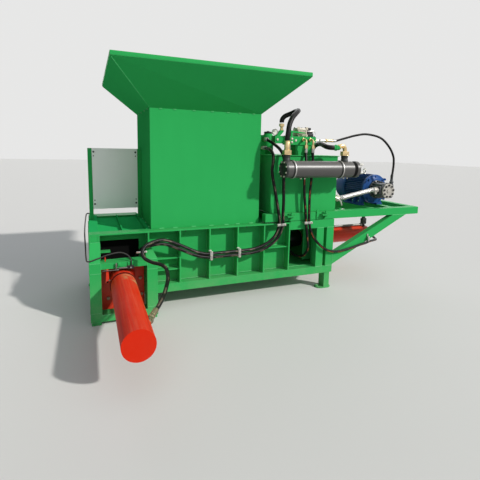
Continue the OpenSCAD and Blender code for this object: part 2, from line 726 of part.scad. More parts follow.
module pump() color(grey) in_place() {
  rod_y(motor_x, pump_y[1], motor_y - 42, motor_z, 220);
  block(motor_x - 86, motor_x + 86, pump_y[0], pump_y[1], motor_z - 86, motor_z + 86);
  rod_y(motor_x, pump_y[0] - 26, pump_y[0], motor_z, 174);
  // Suction flange on the side and outlet on top
  rod_x(motor_x - 168, motor_x - 86, 60, 1100, 70);
  rod_z(3350, 32, motor_z, 1234, 42);
}

module suction_pipe() color(steel) in_place() tube_along(suction_route, suction_d);

module ejector_hose_a() color(black) in_place() tube_along(ejector_route_a, hose_d, 3, 8);

module ejector_hose_b() color(black) in_place() tube_along(ejector_route_b, hose_d, 3, 8);

module main_hose_a() color(black) in_place() tube_along(main_route_a, main_hose_d, 4, 8);

module main_hose_b() color(black) in_place() tube_along(main_route_b, main_hose_d, 4, 8);

module pressure_hose() color(black) in_place() tube_along(pressure_route, pressure_d, 4);

module cooler_hoses() color(black) in_place() {
  tube_along(cooler_route_a, cooler_hose_d);
  tube_along(cooler_route_b, cooler_hose_d);
}

module sensor_cable() color(black) in_place() tube_along(cable_route, cable_d, 4, 8);

// A two hose clamp around hoses that lie one above the other at height z
module clamp_at(x, y0, z, tall) {
  difference() {
    block(x - 14, x + 14, -54, y0, z - tall / 2, z + tall / 2);
    for (dz = [-18, 18]) rod_x(x - 15, x + 15, -34, z + dz, hose_d + 3);
  }
}

// A flat strap in front of two upright hoses, on two long bolts
module strap_at(x0, x1, y, z) {
  block(x0, x1, y, y + 4, z - 13, z + 13);
  for (x = [x0 + 9, x1 - 9]) rod_y(x, y - 6, 0, z, 8);
}

module hose_clamps() color(steel) in_place() {
  clamp_at(rib_xs[2] + 7, 0, 515, 84);
  clamp_at(rib_xs[3] + 7, 0, 518, 84);
  strap_at(1796, 1906, -58, 777);
  strap_at(2119, 2229, -56, 780);
}

// Couplings between the hoses and the pieces that they serve
module hose_fittings() color(brass) in_place() {
  for (x = elbow_xs) {
    rod_y(x, elbow_y, manifold_y, elbow_z, 28);
    rod_z(x, elbow_y, elbow_z - 88, elbow_z + 18, 30);
  }
  rod_x(manifold_x1, manifold_x1 + 200, inlet_y, inlet_z, 28);
  rod_x(manifold_x1 + 200, manifold_x1 + 302, inlet_y, inlet_z, 34);
  rod_z(tap_x, tap_y, tap_z, tap_z + 36, 30);
  rod_z(tap_x, tap_y, tap_z + 36, tap_z + 83, 48);
  rod_x(tank_x1, 2660, 110, 1012, 66);
  rod_y(1776, 250, port_block_y, 1650, 30);
  rod_y(1760, 250, port_block_y, 1560, 30);
}

module main_platen() color(green) in_place() difference() {
  top = roof_z - plate_t - clear;
  block(platen_x, platen_x + platen_l, inner_y0 + clear, inner_y1 - clear, floor_z + clear, top);
  block(platen_x + 2 * platen_wall, platen_x + platen_l + 1, inner_y0 + platen_wall,
    inner_y1 - platen_wall, floor_z + platen_wall, top - platen_wall);
}

module main_rod() color(steel) in_place() {
  piston_x = main_x0 + gland_l + main_stroke + 40;
  rod_x(platen_x + 2 * platen_wall, piston_x, mid_y, main_z, main_rod_d);
  rod_x(piston_x, piston_x + 60, mid_y, main_z, main_d - 36);
}

module ejector_platen() color([0.16, 0.17, 0.16]) in_place()
  block(inner_x0 + clear, chamber_x1 - clear, inner_y0 + 60, inner_y0 + 90,
    floor_z + clear, roof_z - plate_t - clear);

module ejector_rod() color(steel) in_place() {
  rod_y(ejector_x, ejector_tail_y + 140, inner_y0 + 60, ejector_z, ejector_rod_d);
  rod_y(ejector_x, ejector_tail_y + 90, ejector_tail_y + 140, ejector_z, ejector_d - 32);
}

base_beams();
front_web();
front_ribs();
front_ledge();
front_stiffeners();
back_web();
back_ribs();
back_ledge();
chamber_floor();
chamber_roof();
left_end_wall();
end_bulkhead();
end_posts();
top_rails();
deck_plate();
feet();
hopper_box();
hopper_flare();
hopper_rim();
panel_posts();
control_panel();
outlet_sleeve();
ejector_portal();
portal_arms();
ejector_flange();
ejector_barrel();
limit_switch();
main_barrel();
main_port_pipe();
pack_rails();
pack_crossbars();
pack_braces();
oil_tank();
tank_lid();
tank_feet();
valve_stand();
valve_stack();
pressure_gauge();
oil_cooler();
cooler_ports();
cooler_brackets();
motor_body();
motor_feet();
motor_cowl();
terminal_box();
pump();
suction_pipe();
ejector_hose_a();
ejector_hose_b();
main_hose_a();
main_hose_b();
pressure_hose();
cooler_hoses();
sensor_cable();
hose_clamps();
hose_fittings();
main_platen();
main_rod();
ejector_platen();
ejector_rod();
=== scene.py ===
import json
import math

import bmesh
import bpy
from mathutils import Matrix, Vector


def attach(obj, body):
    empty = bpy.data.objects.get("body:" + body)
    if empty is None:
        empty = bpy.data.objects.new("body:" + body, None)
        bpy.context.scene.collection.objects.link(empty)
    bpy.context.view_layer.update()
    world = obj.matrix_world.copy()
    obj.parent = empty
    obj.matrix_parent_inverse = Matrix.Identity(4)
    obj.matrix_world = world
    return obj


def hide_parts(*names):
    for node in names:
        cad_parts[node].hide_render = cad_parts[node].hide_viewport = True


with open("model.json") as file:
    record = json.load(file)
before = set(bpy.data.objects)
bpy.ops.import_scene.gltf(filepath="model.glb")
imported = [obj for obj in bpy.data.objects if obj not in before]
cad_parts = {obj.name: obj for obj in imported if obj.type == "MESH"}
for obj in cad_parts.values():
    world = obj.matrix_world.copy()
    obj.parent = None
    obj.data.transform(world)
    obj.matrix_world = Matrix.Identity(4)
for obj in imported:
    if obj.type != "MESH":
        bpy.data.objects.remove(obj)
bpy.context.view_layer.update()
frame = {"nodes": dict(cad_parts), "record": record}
nodes = frame["nodes"]
print("frame loaded,", len(nodes), "nodes")


# Helpers for materials and the world
def newGroup(name, inputs, outputs):
    tree = bpy.data.node_groups.new(name, "ShaderNodeTree")
    for label, kind, value in inputs:
        tree.interface.new_socket(label, in_out="INPUT", socket_type="NodeSocket" + kind).default_value = value
    for label, kind in outputs:
        tree.interface.new_socket(label, in_out="OUTPUT", socket_type="NodeSocket" + kind)
    return tree, tree.nodes.new("NodeGroupInput").outputs, tree.nodes.new("NodeGroupOutput").inputs


def feed(tree, node, sources):
    # Each of the node's inputs gets a link or a value
    for place, source in dict(sources).items():
        if isinstance(source, bpy.types.NodeSocket):
            tree.links.new(source, node.inputs[place])
        else:
            node.inputs[place].default_value = source
    return node.outputs


def addNode(tree, kind, sources=(), **settings):
    node = tree.nodes.new(kind)
    for key, value in settings.items():
        setattr(node, key, value)
    return feed(tree, node, sources)


def useGroup(tree, group, sources):
    node = tree.nodes.new("ShaderNodeGroup")
    node.node_tree = group
    return feed(tree, node, sources)


def calculate(tree, operation, *values, clamp=False):
    return addNode(tree, "ShaderNodeMath", enumerate(values), operation=operation, use_clamp=clamp)[0]


def multiply(tree, first, second):
    return calculate(tree, "MULTIPLY", first, second)


def blendColour(tree, factor, first, second):
    return addNode(tree, "ShaderNodeMix", {0: factor, 6: first, 7: second}, data_type="RGBA")[2]


def ramp(tree, value, low, high, start=0.0, end=1.0):
    return addNode(tree, "ShaderNodeMapRange", {0: value, 1: low, 2: high, 3: start, 4: end},
                   interpolation_type="SMOOTHSTEP")[0]


def objectPlace(tree):
    return addNode(tree, "ShaderNodeTexCoord")["Object"]


def objectNoise(tree, scale, detail=3.0, rough=0.55, stretch=None):
    place = objectPlace(tree)
    if stretch:
        place = addNode(tree, "ShaderNodeMapping", {"Vector": place, "Scale": stretch})[0]
    return addNode(tree, "ShaderNodeTexNoise", {"Vector": place, "Scale": scale, "Detail": detail,
                                                "Roughness": rough})[0]


def separate(tree, vector):
    return addNode(tree, "ShaderNodeSeparateXYZ", {0: vector})


def faceNormal(tree):
    return addNode(tree, "ShaderNodeNewGeometry")["True Normal"]


def newMaterial(name):
    material = bpy.data.materials.new(name)
    material.use_nodes = True
    return material, material.node_tree, material.node_tree.nodes["Principled BSDF"].inputs


def addBump(tree, shader, height):
    bump = addNode(tree, "ShaderNodeBump", {"Strength": 1.0, "Distance": 1.0, "Height": height})
    tree.links.new(bump[0], shader["Normal"])


# The camera's place and turn, in metres in the frame's own axes
viewpoint = {
    "place": (-1.846, -3.439, 1.55), "yaw": 0.388, "pitch": 0.142, "roll": -0.022,
    "imageSize": 480, "focalPixels": 371.424, "centrePixel": (240.5, 201.5), "sensor": 36.0,
}
lamps = {
    "sun": {"towards": (0.551, -0.626, 0.548), "power": 3.35, "angle": 0.04, "colour": (1.0, 0.972, 0.93)},
    "sky": {"towards": (0.12, -0.55, 0.83), "power": 1.15, "angle": 1.7, "colour": (0.90, 0.95, 1.0)},
    "back": {"towards": (0.30, 0.88, 0.36), "power": 1.1, "angle": 1.2, "colour": (0.95, 0.97, 1.0)},
}
studio = {"ambient": (0.075, 0.080, 0.088), "backdrop": (0.80, 0.80, 0.795)}
floorLook = {"size": 80.0, "colour": (0.62, 0.615, 0.60), "rough": 0.9, "shine": 0.2}


def makeCamera(v):
    yaw, pitch = v["yaw"], v["pitch"]
    forward = Vector((math.sin(yaw) * math.cos(pitch), math.cos(yaw) * math.cos(pitch), -math.sin(pitch)))
    level = Vector((math.cos(yaw), -math.sin(yaw), 0))
    down = forward.cross(level)
    right = level * math.cos(v["roll"]) + down * math.sin(v["roll"])
    down = -level * math.sin(v["roll"]) + down * math.cos(v["roll"])
    data = bpy.data.cameras.new("camera")
    data.sensor_width = v["sensor"]
    data.lens = v["sensor"] * v["focalPixels"] / v["imageSize"]
    half = v["imageSize"] / 2
    data.shift_x = (half - v["centrePixel"][0]) / v["imageSize"]
    data.shift_y = (v["centrePixel"][1] - half) / v["imageSize"]
    camera = bpy.data.objects.new("camera", data)
    bpy.context.scene.collection.objects.link(camera)
    turn = Matrix((right, -down, -forward)).transposed()
    camera.matrix_world = Matrix.Translation(v["place"]) @ turn.to_4x4()
    bpy.context.scene.camera = camera


def makeLight():
    for name, look in lamps.items():
        lamp = bpy.data.lights.new(name, "SUN")
        lamp.energy, lamp.angle, lamp.color = look["power"], look["angle"], look["colour"]
        carrier = bpy.data.objects.new(name, lamp)
        bpy.context.scene.collection.objects.link(carrier)
        carrier.rotation_euler = Vector(look["towards"]).to_track_quat("Z", "Y").to_euler()
    bpy.context.scene.view_settings.view_transform = "Standard"


def makeWorld():
    # What the camera and the reflections see is the pale backdrop; what lights the machine is dimmer
    world = bpy.data.worlds.new("studio")
    bpy.context.scene.world = world
    world.use_nodes = True
    tree = world.node_tree
    tree.nodes.clear()
    rays = addNode(tree, "ShaderNodeLightPath")
    seen = calculate(tree, "MAXIMUM", rays["Is Camera Ray"], rays["Is Glossy Ray"])
    clear = calculate(tree, "MAXIMUM", seen, rays["Is Transmission Ray"])
    colour = blendColour(tree, clear, (*studio["ambient"], 1), (*studio["backdrop"], 1))
    light = addNode(tree, "ShaderNodeBackground", {"Color": colour})
    addNode(tree, "ShaderNodeOutputWorld", {0: light[0]})


def makeFloor(f):
    bpy.ops.mesh.primitive_plane_add(size=f["size"], location=(0, 0, 0))
    floor = bpy.context.object
    floor.name = "floor"
    material, _, shader = newMaterial("floorPaint")
    shader["Base Color"].default_value = (*f["colour"], 1)
    shader["Roughness"].default_value = f["rough"]
    shader["Specular IOR Level"].default_value = f["shine"]
    floor.data.materials.append(material)


makeCamera(viewpoint)
makeLight()
makeWorld()
makeFloor(floorLook)
print("camera, light and floor are in place")

# Shader groups that several finishes share
dustLook = {
    "colour": (0.42, 0.37, 0.29, 1), "patchScale": 3.2, "patches": (0.30, 0.72), "fineScale": 38.0,
    "specks": (0.35, 0.7), "patchShare": 0.7, "facesUp": (0.45, 0.95), "nearGround": (0.55, 0.0),
}
edgeLook = {"width": 0.004, "chipScale": 55.0, "chips": (0.44, 0.62), "sharp": (0.995, 0.86)}
skinLook = {
    "cloudScale": 1.7, "streakScale": 5.0, "streakStretch": (2.2, 2.2, 0.25), "cloudShare": 0.6,
    "peelScale": 420.0, "peelHeight": 0.001, "waveScale": 2.6, "waveHeight": 0.01,
}


def dustGroup(d):
    # Dust lies on what faces up and clings low down near the ground, in soft patches
    tree, given, out = newGroup("settledDust", [
        ("Colour", "Color", (0.1, 0.5, 0.2, 1)), ("Dust", "Color", d["colour"]),
        ("Top", "Float", 0.4), ("Low", "Float", 0.35)], [("Colour", "Color"), ("Mask", "Float")])
    up = separate(tree, faceNormal(tree))[2]
    height = separate(tree, objectPlace(tree))[2]
    patches = ramp(tree, objectNoise(tree, d["patchScale"], 6.0, 0.62), *d["patches"])
    fine = ramp(tree, objectNoise(tree, d["fineScale"], 4.0, 0.7), *d["specks"])
    top = multiply(tree, ramp(tree, up, *d["facesUp"]), given["Top"])
    low = multiply(tree, ramp(tree, height, *d["nearGround"]), given["Low"])
    uneven = calculate(tree, "MULTIPLY_ADD", patches, d["patchShare"],
                       multiply(tree, fine, 1 - d["patchShare"]))
    mask = calculate(tree, "MULTIPLY", calculate(tree, "ADD", top, low), uneven, clamp=True)
    tree.links.new(blendColour(tree, mask, given["Colour"], given["Dust"]), out["Colour"])
    tree.links.new(mask, out["Mask"])
    return tree


def edgeGroup(e):
    # Paint rubbed thin on the sharp edges, broken up by noise
    tree, given, out = newGroup("rubbedEdge", [("Width", "Float", e["width"]), ("Amount", "Float", 0.5)],
                                [("Mask", "Float")])
    rounded = addNode(tree, "ShaderNodeBevel", {"Radius": given["Width"]}, samples=4)[0]
    flat = addNode(tree, "ShaderNodeNewGeometry")["Normal"]
    agree = addNode(tree, "ShaderNodeVectorMath", {0: rounded, 1: flat}, operation="DOT_PRODUCT")["Value"]
    chips = ramp(tree, objectNoise(tree, e["chipScale"], 5.0, 0.7), *e["chips"])
    edge = multiply(tree, ramp(tree, agree, *e["sharp"]), chips)
    tree.links.new(calculate(tree, "MULTIPLY", edge, given["Amount"], clamp=True), out["Mask"])
    return tree


def skinGroup(s):
    # A sprayed coat: a slight drift of tone, orange peel, and the wave of welded sheet
    tree, given, out = newGroup("sprayedSkin", [
        ("Colour", "Color", (0.1, 0.5, 0.2, 1)), ("Drift", "Float", 0.12), ("Peel", "Float", 0.25),
        ("Wave", "Float", 0.5)], [("Colour", "Color"), ("Height", "Float"), ("Cloud", "Float")])
    cloud = objectNoise(tree, s["cloudScale"], 4.0, 0.6)
    streak = objectNoise(tree, s["streakScale"], 4.0, 0.6, stretch=s["streakStretch"])
    share = s["cloudShare"]
    both = calculate(tree, "MULTIPLY_ADD", cloud, share, multiply(tree, streak, 1 - share))
    tone = calculate(tree, "MULTIPLY_ADD", calculate(tree, "SUBTRACT", both, 0.5), given["Drift"], 1.0)
    shade = addNode(tree, "ShaderNodeHueSaturation", {"Color": given["Colour"], "Value": tone})[0]
    peel = multiply(tree, objectNoise(tree, s["peelScale"], 2.0, 0.5), given["Peel"])
    wave = multiply(tree, objectNoise(tree, s["waveScale"], 1.0, 0.4), given["Wave"])
    height = calculate(tree, "MULTIPLY_ADD", peel, s["peelHeight"], multiply(tree, wave, s["waveHeight"]))
    tree.links.new(shade, out["Colour"])
    tree.links.new(height, out["Height"])
    tree.links.new(cloud, out["Cloud"])
    return tree


settledDust, rubbedEdge, sprayedSkin = dustGroup(dustLook), edgeGroup(edgeLook), skinGroup(skinLook)

# Finishes
# Bare steel for rubbed edges, and a near black that is painted shade
rubAndPaintedShade = {
    "bareSteel": (0.20, 0.20, 0.19, 1), "paintedShadeColour": (0.010, 0.013, 0.010, 1), "paintedShadeFade": 0.02,
    "paintedShadeScale": 30.0, "paintedShadeWobble": 0.02, "glossDrift": 0.16, "dustRough": 0.45,
}


def sprayPaint(name, colour, gloss=0.36, drift=0.16, peel=0.25, wave=0.5, top=0.12, low=0.22, rub=0.5,
               metal=0.0, shine=0.3, paintedShadeEnd=None):
    material, tree, shader = newMaterial(name)
    skin = useGroup(tree, sprayedSkin, {"Colour": (*colour, 1), "Drift": drift, "Peel": peel, "Wave": wave})
    coat = skin["Colour"]
    if rub:
        rubbed = useGroup(tree, rubbedEdge, {"Width": edgeLook["width"], "Amount": rub})["Mask"]
        coat = blendColour(tree, rubbed, coat, rubAndPaintedShade["bareSteel"])
    if paintedShadeEnd is not None:  # Painted shade: near black covers the part inside the frame, up to this place along the machine
        along = separate(tree, objectPlace(tree))[0]
        uneven = objectNoise(tree, rubAndPaintedShade["paintedShadeScale"], 3.0, 0.6)
        edge = calculate(tree, "MULTIPLY_ADD", uneven, rubAndPaintedShade["paintedShadeWobble"], along)
        coat = blendColour(tree, ramp(tree, edge, paintedShadeEnd + rubAndPaintedShade["paintedShadeFade"], paintedShadeEnd), coat, rubAndPaintedShade["paintedShadeColour"])
    dust = useGroup(tree, settledDust, {"Colour": coat, "Top": top, "Low": low})
    tree.links.new(dust["Colour"], shader["Base Color"])
    rough = calculate(tree, "MULTIPLY_ADD", skin["Cloud"], rubAndPaintedShade["glossDrift"], gloss - rubAndPaintedShade["glossDrift"] / 2)
    dusty = calculate(tree, "MULTIPLY_ADD", dust["Mask"], rubAndPaintedShade["dustRough"], rough, clamp=True)
    tree.links.new(dusty, shader["Roughness"])
    addBump(tree, shader, skin["Height"])
    shader["Metallic"].default_value = metal
    shader["Specular IOR Level"].default_value = shine
    return material


def bareMetal(name, colour, gloss, metal=0.85, **look):
    return sprayPaint(name, colour, gloss=gloss, metal=metal, rub=0.0, wave=0.1, **look)


hoseLook = {
    "dashes": 41.0, "dashEdges": (-0.7, 0.1), "stripeFade": 0.025, "patchScale": 8.0, "scuffScale": 120.0,
    "scuffs": (0.36, 0.56), "clothTurns": 3.0, "clothPitch": 1900.0, "clothHeight": 0.00008, "lumpScale": 60.0,
    "lumpHeight": 0.0008, "wornSpread": (-0.06, 0.04), "dustRough": 0.5, "shine": 0.17,
}


def hoseCover(name, colour, stripe, gloss=0.42, wide=0.955, worn=0.5):
    # Wrapped rubber: a faint cloth grain round the hose and a dashed stripe along it
    h = hoseLook
    material, tree, shader = newMaterial(name)
    along = addNode(tree, "ShaderNodeAttribute", attribute_name="along")["Fac"]
    around = addNode(tree, "ShaderNodeAttribute", attribute_name="around")["Fac"]
    turn = multiply(tree, around, math.tau)
    band = ramp(tree, calculate(tree, "COSINE", turn), wide, wide + h["stripeFade"])
    dash = ramp(tree, calculate(tree, "SINE", multiply(tree, along, h["dashes"])), *h["dashEdges"])
    patch = ramp(tree, objectNoise(tree, h["patchScale"], 2.0, 0.5), *[worn + s for s in h["wornSpread"]])
    scuff = ramp(tree, objectNoise(tree, h["scuffScale"], 4.0, 0.7), *h["scuffs"])
    mark = multiply(tree, multiply(tree, band, dash), multiply(tree, patch, scuff))
    inked = blendColour(tree, mark, (*colour, 1), (*stripe, 1))
    dust = useGroup(tree, settledDust, {"Colour": inked, "Top": 0.03, "Low": 0.02})
    tree.links.new(dust["Colour"], shader["Base Color"])
    wrap = calculate(tree, "MULTIPLY_ADD", along, h["clothPitch"], multiply(tree, turn, h["clothTurns"]))
    lumps = multiply(tree, objectNoise(tree, h["lumpScale"]), h["lumpHeight"])
    addBump(tree, shader,
            calculate(tree, "MULTIPLY_ADD", calculate(tree, "SINE", wrap), h["clothHeight"], lumps))
    rough = calculate(tree, "MULTIPLY_ADD", dust["Mask"], h["dustRough"], gloss, clamp=True)
    tree.links.new(rough, shader["Roughness"])
    shader["Specular IOR Level"].default_value = h["shine"]
    return material


barrelLook = {
    "colour": (0.56, 0.019, 0.004, 1), "bleached": (0.42, 0.27, 0.12, 1), "bleachedY": (-0.26, -0.42),
    "bleachedX": (-1.64, -1.58), "pale": (0.60, 0.11, 0.055, 1), "deep": (0.27, 0.020, 0.008, 1),
    "paleShare": 0.30, "deepShare": 0.45, "bleachedShare": 0.92, "bleachedFade": (0.03, -0.015),
    "paleScale": 62.0, "paleStretch": (1.0, 0.03, 1.0), "paleEdges": (0.44, 0.66),
    "deepScale": 44.0, "deepStretch": (1.0, 0.02, 1.0), "deepEdges": (0.52, 0.70),
    "patchScale": 14.0, "patchEdges": (0.32, 0.6), "roundSide": (0.9, 0.5),
    "gloss": 0.30, "streakRough": 0.25, "shine": 0.08,
}


def barrelCoat(name, b):
    # Enamel with rain streaks along the barrel and a sun-bleached band on top, beside its collar
    material, tree, shader = newMaterial(name)
    skin = useGroup(tree, sprayedSkin, {"Colour": b["colour"], "Drift": 0.15, "Peel": 0.2, "Wave": 0.1})
    place = separate(tree, objectPlace(tree))
    endwise = calculate(tree, "ABSOLUTE", separate(tree, faceNormal(tree))[1])
    onBarrel = ramp(tree, endwise, *b["roundSide"])
    streaks = objectNoise(tree, b["paleScale"], 3.0, 0.6, stretch=b["paleStretch"])
    streaks = multiply(tree, ramp(tree, streaks, *b["paleEdges"]), onBarrel)
    deep = objectNoise(tree, b["deepScale"], 3.0, 0.5, stretch=b["deepStretch"])
    deep = multiply(tree, multiply(tree, ramp(tree, deep, *b["deepEdges"]), onBarrel), b["deepShare"])
    streaked = blendColour(tree, multiply(tree, streaks, b["paleShare"]), skin["Colour"], b["pale"])
    streaked = blendColour(tree, deep, streaked, b["deep"])
    (near, far), (farFade, nearFade) = b["bleachedY"], b["bleachedFade"]
    band = multiply(tree, ramp(tree, place[1], far, far + farFade), ramp(tree, place[1], near, near + nearFade))
    band = multiply(tree, band, ramp(tree, place[0], *b["bleachedX"]))
    rubbed = multiply(tree, band, ramp(tree, objectNoise(tree, b["patchScale"], 4.0, 0.6), *b["patchEdges"]))
    bleached = blendColour(tree, multiply(tree, rubbed, b["bleachedShare"]), streaked, b["bleached"])
    dust = useGroup(tree, settledDust, {"Colour": bleached, "Top": 0.06, "Low": 0.06})
    tree.links.new(dust["Colour"], shader["Base Color"])
    tree.links.new(calculate(tree, "MULTIPLY_ADD", streaks, b["streakRough"], b["gloss"]), shader["Roughness"])
    addBump(tree, shader, skin["Height"])
    shader["Specular IOR Level"].default_value = b["shine"]
    return material


braidLook = {
    "colour": (0.62, 0.61, 0.59, 1), "strands": 14, "pitch": 560.0, "height": 0.0006,
    "shade": (-0.2, 0.7, 0.35, 1.0), "gloss": 0.30, "glossDrift": 0.2, "metal": 0.85,
}


def braidCover(name, b):
    # A steel wire braid: two sets of strands that cross round the pipe
    material, tree, shader = newMaterial(name)
    along = addNode(tree, "ShaderNodeAttribute", attribute_name="along")["Fac"]
    around = addNode(tree, "ShaderNodeAttribute", attribute_name="around")["Fac"]
    turn = multiply(tree, around, math.tau * b["strands"])
    run = multiply(tree, along, b["pitch"])
    first = calculate(tree, "SINE", calculate(tree, "ADD", turn, run))
    second = calculate(tree, "SINE", calculate(tree, "SUBTRACT", turn, run))
    weave = calculate(tree, "MAXIMUM", first, second)
    # The braid is darker where the weave dips: painted shade between the strands
    dark = ramp(tree, weave, *b["shade"])
    tone = addNode(tree, "ShaderNodeHueSaturation", {"Color": b["colour"], "Value": dark})[0]
    tree.links.new(tone, shader["Base Color"])
    addBump(tree, shader, multiply(tree, weave, b["height"]))
    drift = b["glossDrift"]
    tree.links.new(calculate(tree, "MULTIPLY_ADD", objectNoise(tree, 30.0), drift, b["gloss"] - drift / 2),
                   shader["Roughness"])
    shader["Metallic"].default_value = b["metal"]
    return material


# One finish for each of the record's material slots
rubber = (0.006, 0.006, 0.006)
paints = {
    "green_paint": sprayPaint("greenEnamel", (0.026, 0.345, 0.085), gloss=0.42, shine=0.035, top=0.06),
    "red_paint": sprayPaint("redEnamel", (0.60, 0.034, 0.010), gloss=0.34, wave=0.2, drift=0.22, top=0.08,
                            low=0.15, shine=0.25),
    "grey_panel": sprayPaint("greyPanel", (0.84, 0.86, 0.83), gloss=0.5, top=0.2, low=0.1, rub=0.2, wave=0.3),
    "dark_grey_paint": sprayPaint("darkGreyPaint", (0.05, 0.05, 0.05), gloss=0.34, wave=0.1, rub=0.25),
    "blue_paint": sprayPaint("blueEnamel", (0.018, 0.075, 0.25), gloss=0.38, wave=0.1, rub=0.3, top=0.04,
                             low=0.0, shine=0.12),
    "brass": bareMetal("turnedBrass", (0.66, 0.50, 0.26), 0.30, top=0.1, low=0.0),
    "bright_steel": bareMetal("brightSteel", (0.62, 0.61, 0.58), 0.30, low=0.15),
    "chromed_rod": sprayPaint("hardChrome", (0.75, 0.75, 0.76), gloss=0.14, metal=1.0, rub=0.0, wave=0.02,
                              top=0.1),
    # The worn steel is painted near black: painted shade for the dark chamber it sits in
    "worn_steel": sprayPaint("steelPaintedShadeBlack", rubber, gloss=0.6, rub=0.0, top=0.0, low=0.0, drift=0.05, shine=0.0),
    "valve_paint": sprayPaint("valveCoil", (0.55, 0.50, 0.40), gloss=0.4, rub=0.1),
    "black_rubber": hoseCover("hoseRubber", rubber, (0.42, 0.13, 0.03), gloss=0.38, wide=0.94, worn=0.47),
}
# Finishes of single pieces
hopperPaint = sprayPaint("hopperEnamel", (0.026, 0.34, 0.085), gloss=0.45, shine=0.0, top=0.05, low=0.1)
# The deck and the chamber's roof are a lighter green than the rest: painted light on these shaded faces
deckWithPaintedLight = sprayPaint("paintedLightOnDeck", (0.022, 0.40, 0.11), gloss=0.6, top=0.0, low=0.0, shine=0.0)
# The welds are a lighter green than the enamel: painted highlight where they catch the light
weldWithPaintedHighlight = sprayPaint("weldEnamelPaintedHighlight", (0.050, 0.40, 0.125), gloss=0.40, wave=0.0, peel=0.8, rub=0.0)
redWeld = sprayPaint("paintedRedWeld", (0.50, 0.030, 0.010), gloss=0.42, wave=0.0, peel=0.8, rub=0.0)
barrelPaint = barrelCoat("barrelPaint", barrelLook)
# The main barrel turns near black inside the frame: painted shade of the chamber
mainBarrelPaint = sprayPaint("mainBarrelPaint", (0.60, 0.034, 0.010), gloss=0.34, wave=0.2, drift=0.22,
                             top=0.05, low=0.05, shine=0.25, paintedShadeEnd=0.54)
seamShadow = sprayPaint("seamShadow", (0.05, 0.006, 0.004), gloss=0.6, wave=0.0, rub=0.0, top=0.0, low=0.0,
                        shine=0.1)
# Near black for a groove and a hole: painted shade in them
gapPaintedShadeBlack = sprayPaint("gapPaintedShadeBlack", (0.008, 0.008, 0.008), gloss=0.7, rub=0.0, wave=0.0, top=0.0, low=0.0,
                     shine=0.05)
oldHose = hoseCover("oldHoseRubber", rubber, (0.15, 0.12, 0.08), gloss=0.34, wide=0.92, worn=0.50)
oldBrass = bareMetal("oldBrass", (0.27, 0.225, 0.14), 0.36, top=0.1, low=0.0)
paleUnion = bareMetal("paleUnion", (0.62, 0.57, 0.46), 0.34, metal=0.5, top=0.1, low=0.0)
ferruleSteel = bareMetal("ferruleSteel", (0.42, 0.41, 0.39), 0.40, low=0.15)
dullSteel = bareMetal("dullSteel", (0.17, 0.165, 0.15), 0.45, metal=0.7, top=0.0, low=0.0)
agedBolt = bareMetal("agedBolt", (0.30, 0.22, 0.16), 0.45, metal=0.5, top=0.0, low=0.0)
darkBolt = bareMetal("darkBolt", (0.035, 0.035, 0.035), 0.42, metal=0.5)
zincBolt = bareMetal("zincBolt", (0.55, 0.53, 0.45), 0.35, metal=0.8)
coolerPaint = sprayPaint("coolerPaint", (0.060, 0.058, 0.055), gloss=0.36, wave=0.05, rub=0.3, drift=0.25,
                         shine=0.5)
capPaint = sprayPaint("capPaint", (0.022, 0.026, 0.024), gloss=0.45, wave=0.1, peel=0.7, rub=0.2)
pumpPaint = sprayPaint("pumpPaint", (0.06, 0.065, 0.07), gloss=0.36, rub=0.2, wave=0.1, peel=0.9, shine=0.5)
palePlate = sprayPaint("palePlate", (0.42, 0.40, 0.36), gloss=0.42, metal=0.3, rub=0.2, wave=0.05, peel=0.6)
palePlastic = sprayPaint("palePlastic", (0.72, 0.70, 0.65), gloss=0.4, rub=0.0, wave=0.0, top=0.05, low=0.0)
blackPlastic = sprayPaint("blackPlastic", (0.018, 0.018, 0.018), gloss=0.45, rub=0.0, wave=0.0)
wireBraid = braidCover("wireBraid", braidLook)
print("finishes are mixed")


# Modelling helpers. Places are given in millimetres from the base's front left corner.
machineOrigin = Vector((1.870, 0.063, 0))
rightward, leftward, backward = (1, 0, 0), (-1, 0, 0), (0, 1, 0)
frontward, upward, downward = (0, -1, 0), (0, 0, 1), (0, 0, -1)
closeEnough = {"merge": 0.00002, "sharpEdge": 0.6, "sameWay": 0.9, "onTop": 1e-5}


def spot(x, y, z):
    return Vector((x, y, z)) / 1000 - machineOrigin


def takeOnly(piece):
    if bpy.context.mode != "OBJECT":
        bpy.ops.object.mode_set(mode="OBJECT")
    bpy.ops.object.select_all(action="DESELECT")
    if piece:
        piece.select_set(True)
        bpy.context.view_layer.objects.active = piece


def editOnly(piece):
    takeOnly(piece)
    bpy.ops.object.mode_set(mode="EDIT")
    bpy.ops.mesh.select_all(action="DESELECT")


def leaveEdit():
    bpy.ops.object.mode_set(mode="OBJECT")


def pick(piece, kind, test):
    # Opens the piece in edit mode with the faces, edges or points selected that pass the test
    if bpy.context.mode != "EDIT_MESH" or bpy.context.object is not piece:
        editOnly(piece)
    bpy.ops.mesh.select_mode(type=kind)
    bpy.ops.mesh.select_all(action="DESELECT")
    mesh = bmesh.from_edit_mesh(piece.data)
    parts = {"FACE": mesh.faces, "EDGE": mesh.edges, "VERT": mesh.verts}[kind]
    for part in parts:
        if test(part):
            part.select_set(True)
    mesh.select_flush_mode()
    bmesh.update_edit_mesh(piece.data)


def pickFacing(piece, direction):
    pick(piece, "FACE", lambda face: face.normal.dot(Vector(direction)) > closeEnough["sameWay"])


def insetPanel(piece, direction, border, depth):
    # A shallow panel on one side, sunk or raised by its depth
    pickFacing(piece, direction)
    bpy.ops.mesh.inset(thickness=border / 1000)
    bpy.ops.transform.translate(value=Vector(direction) * depth / 1000)
    leaveEdit()


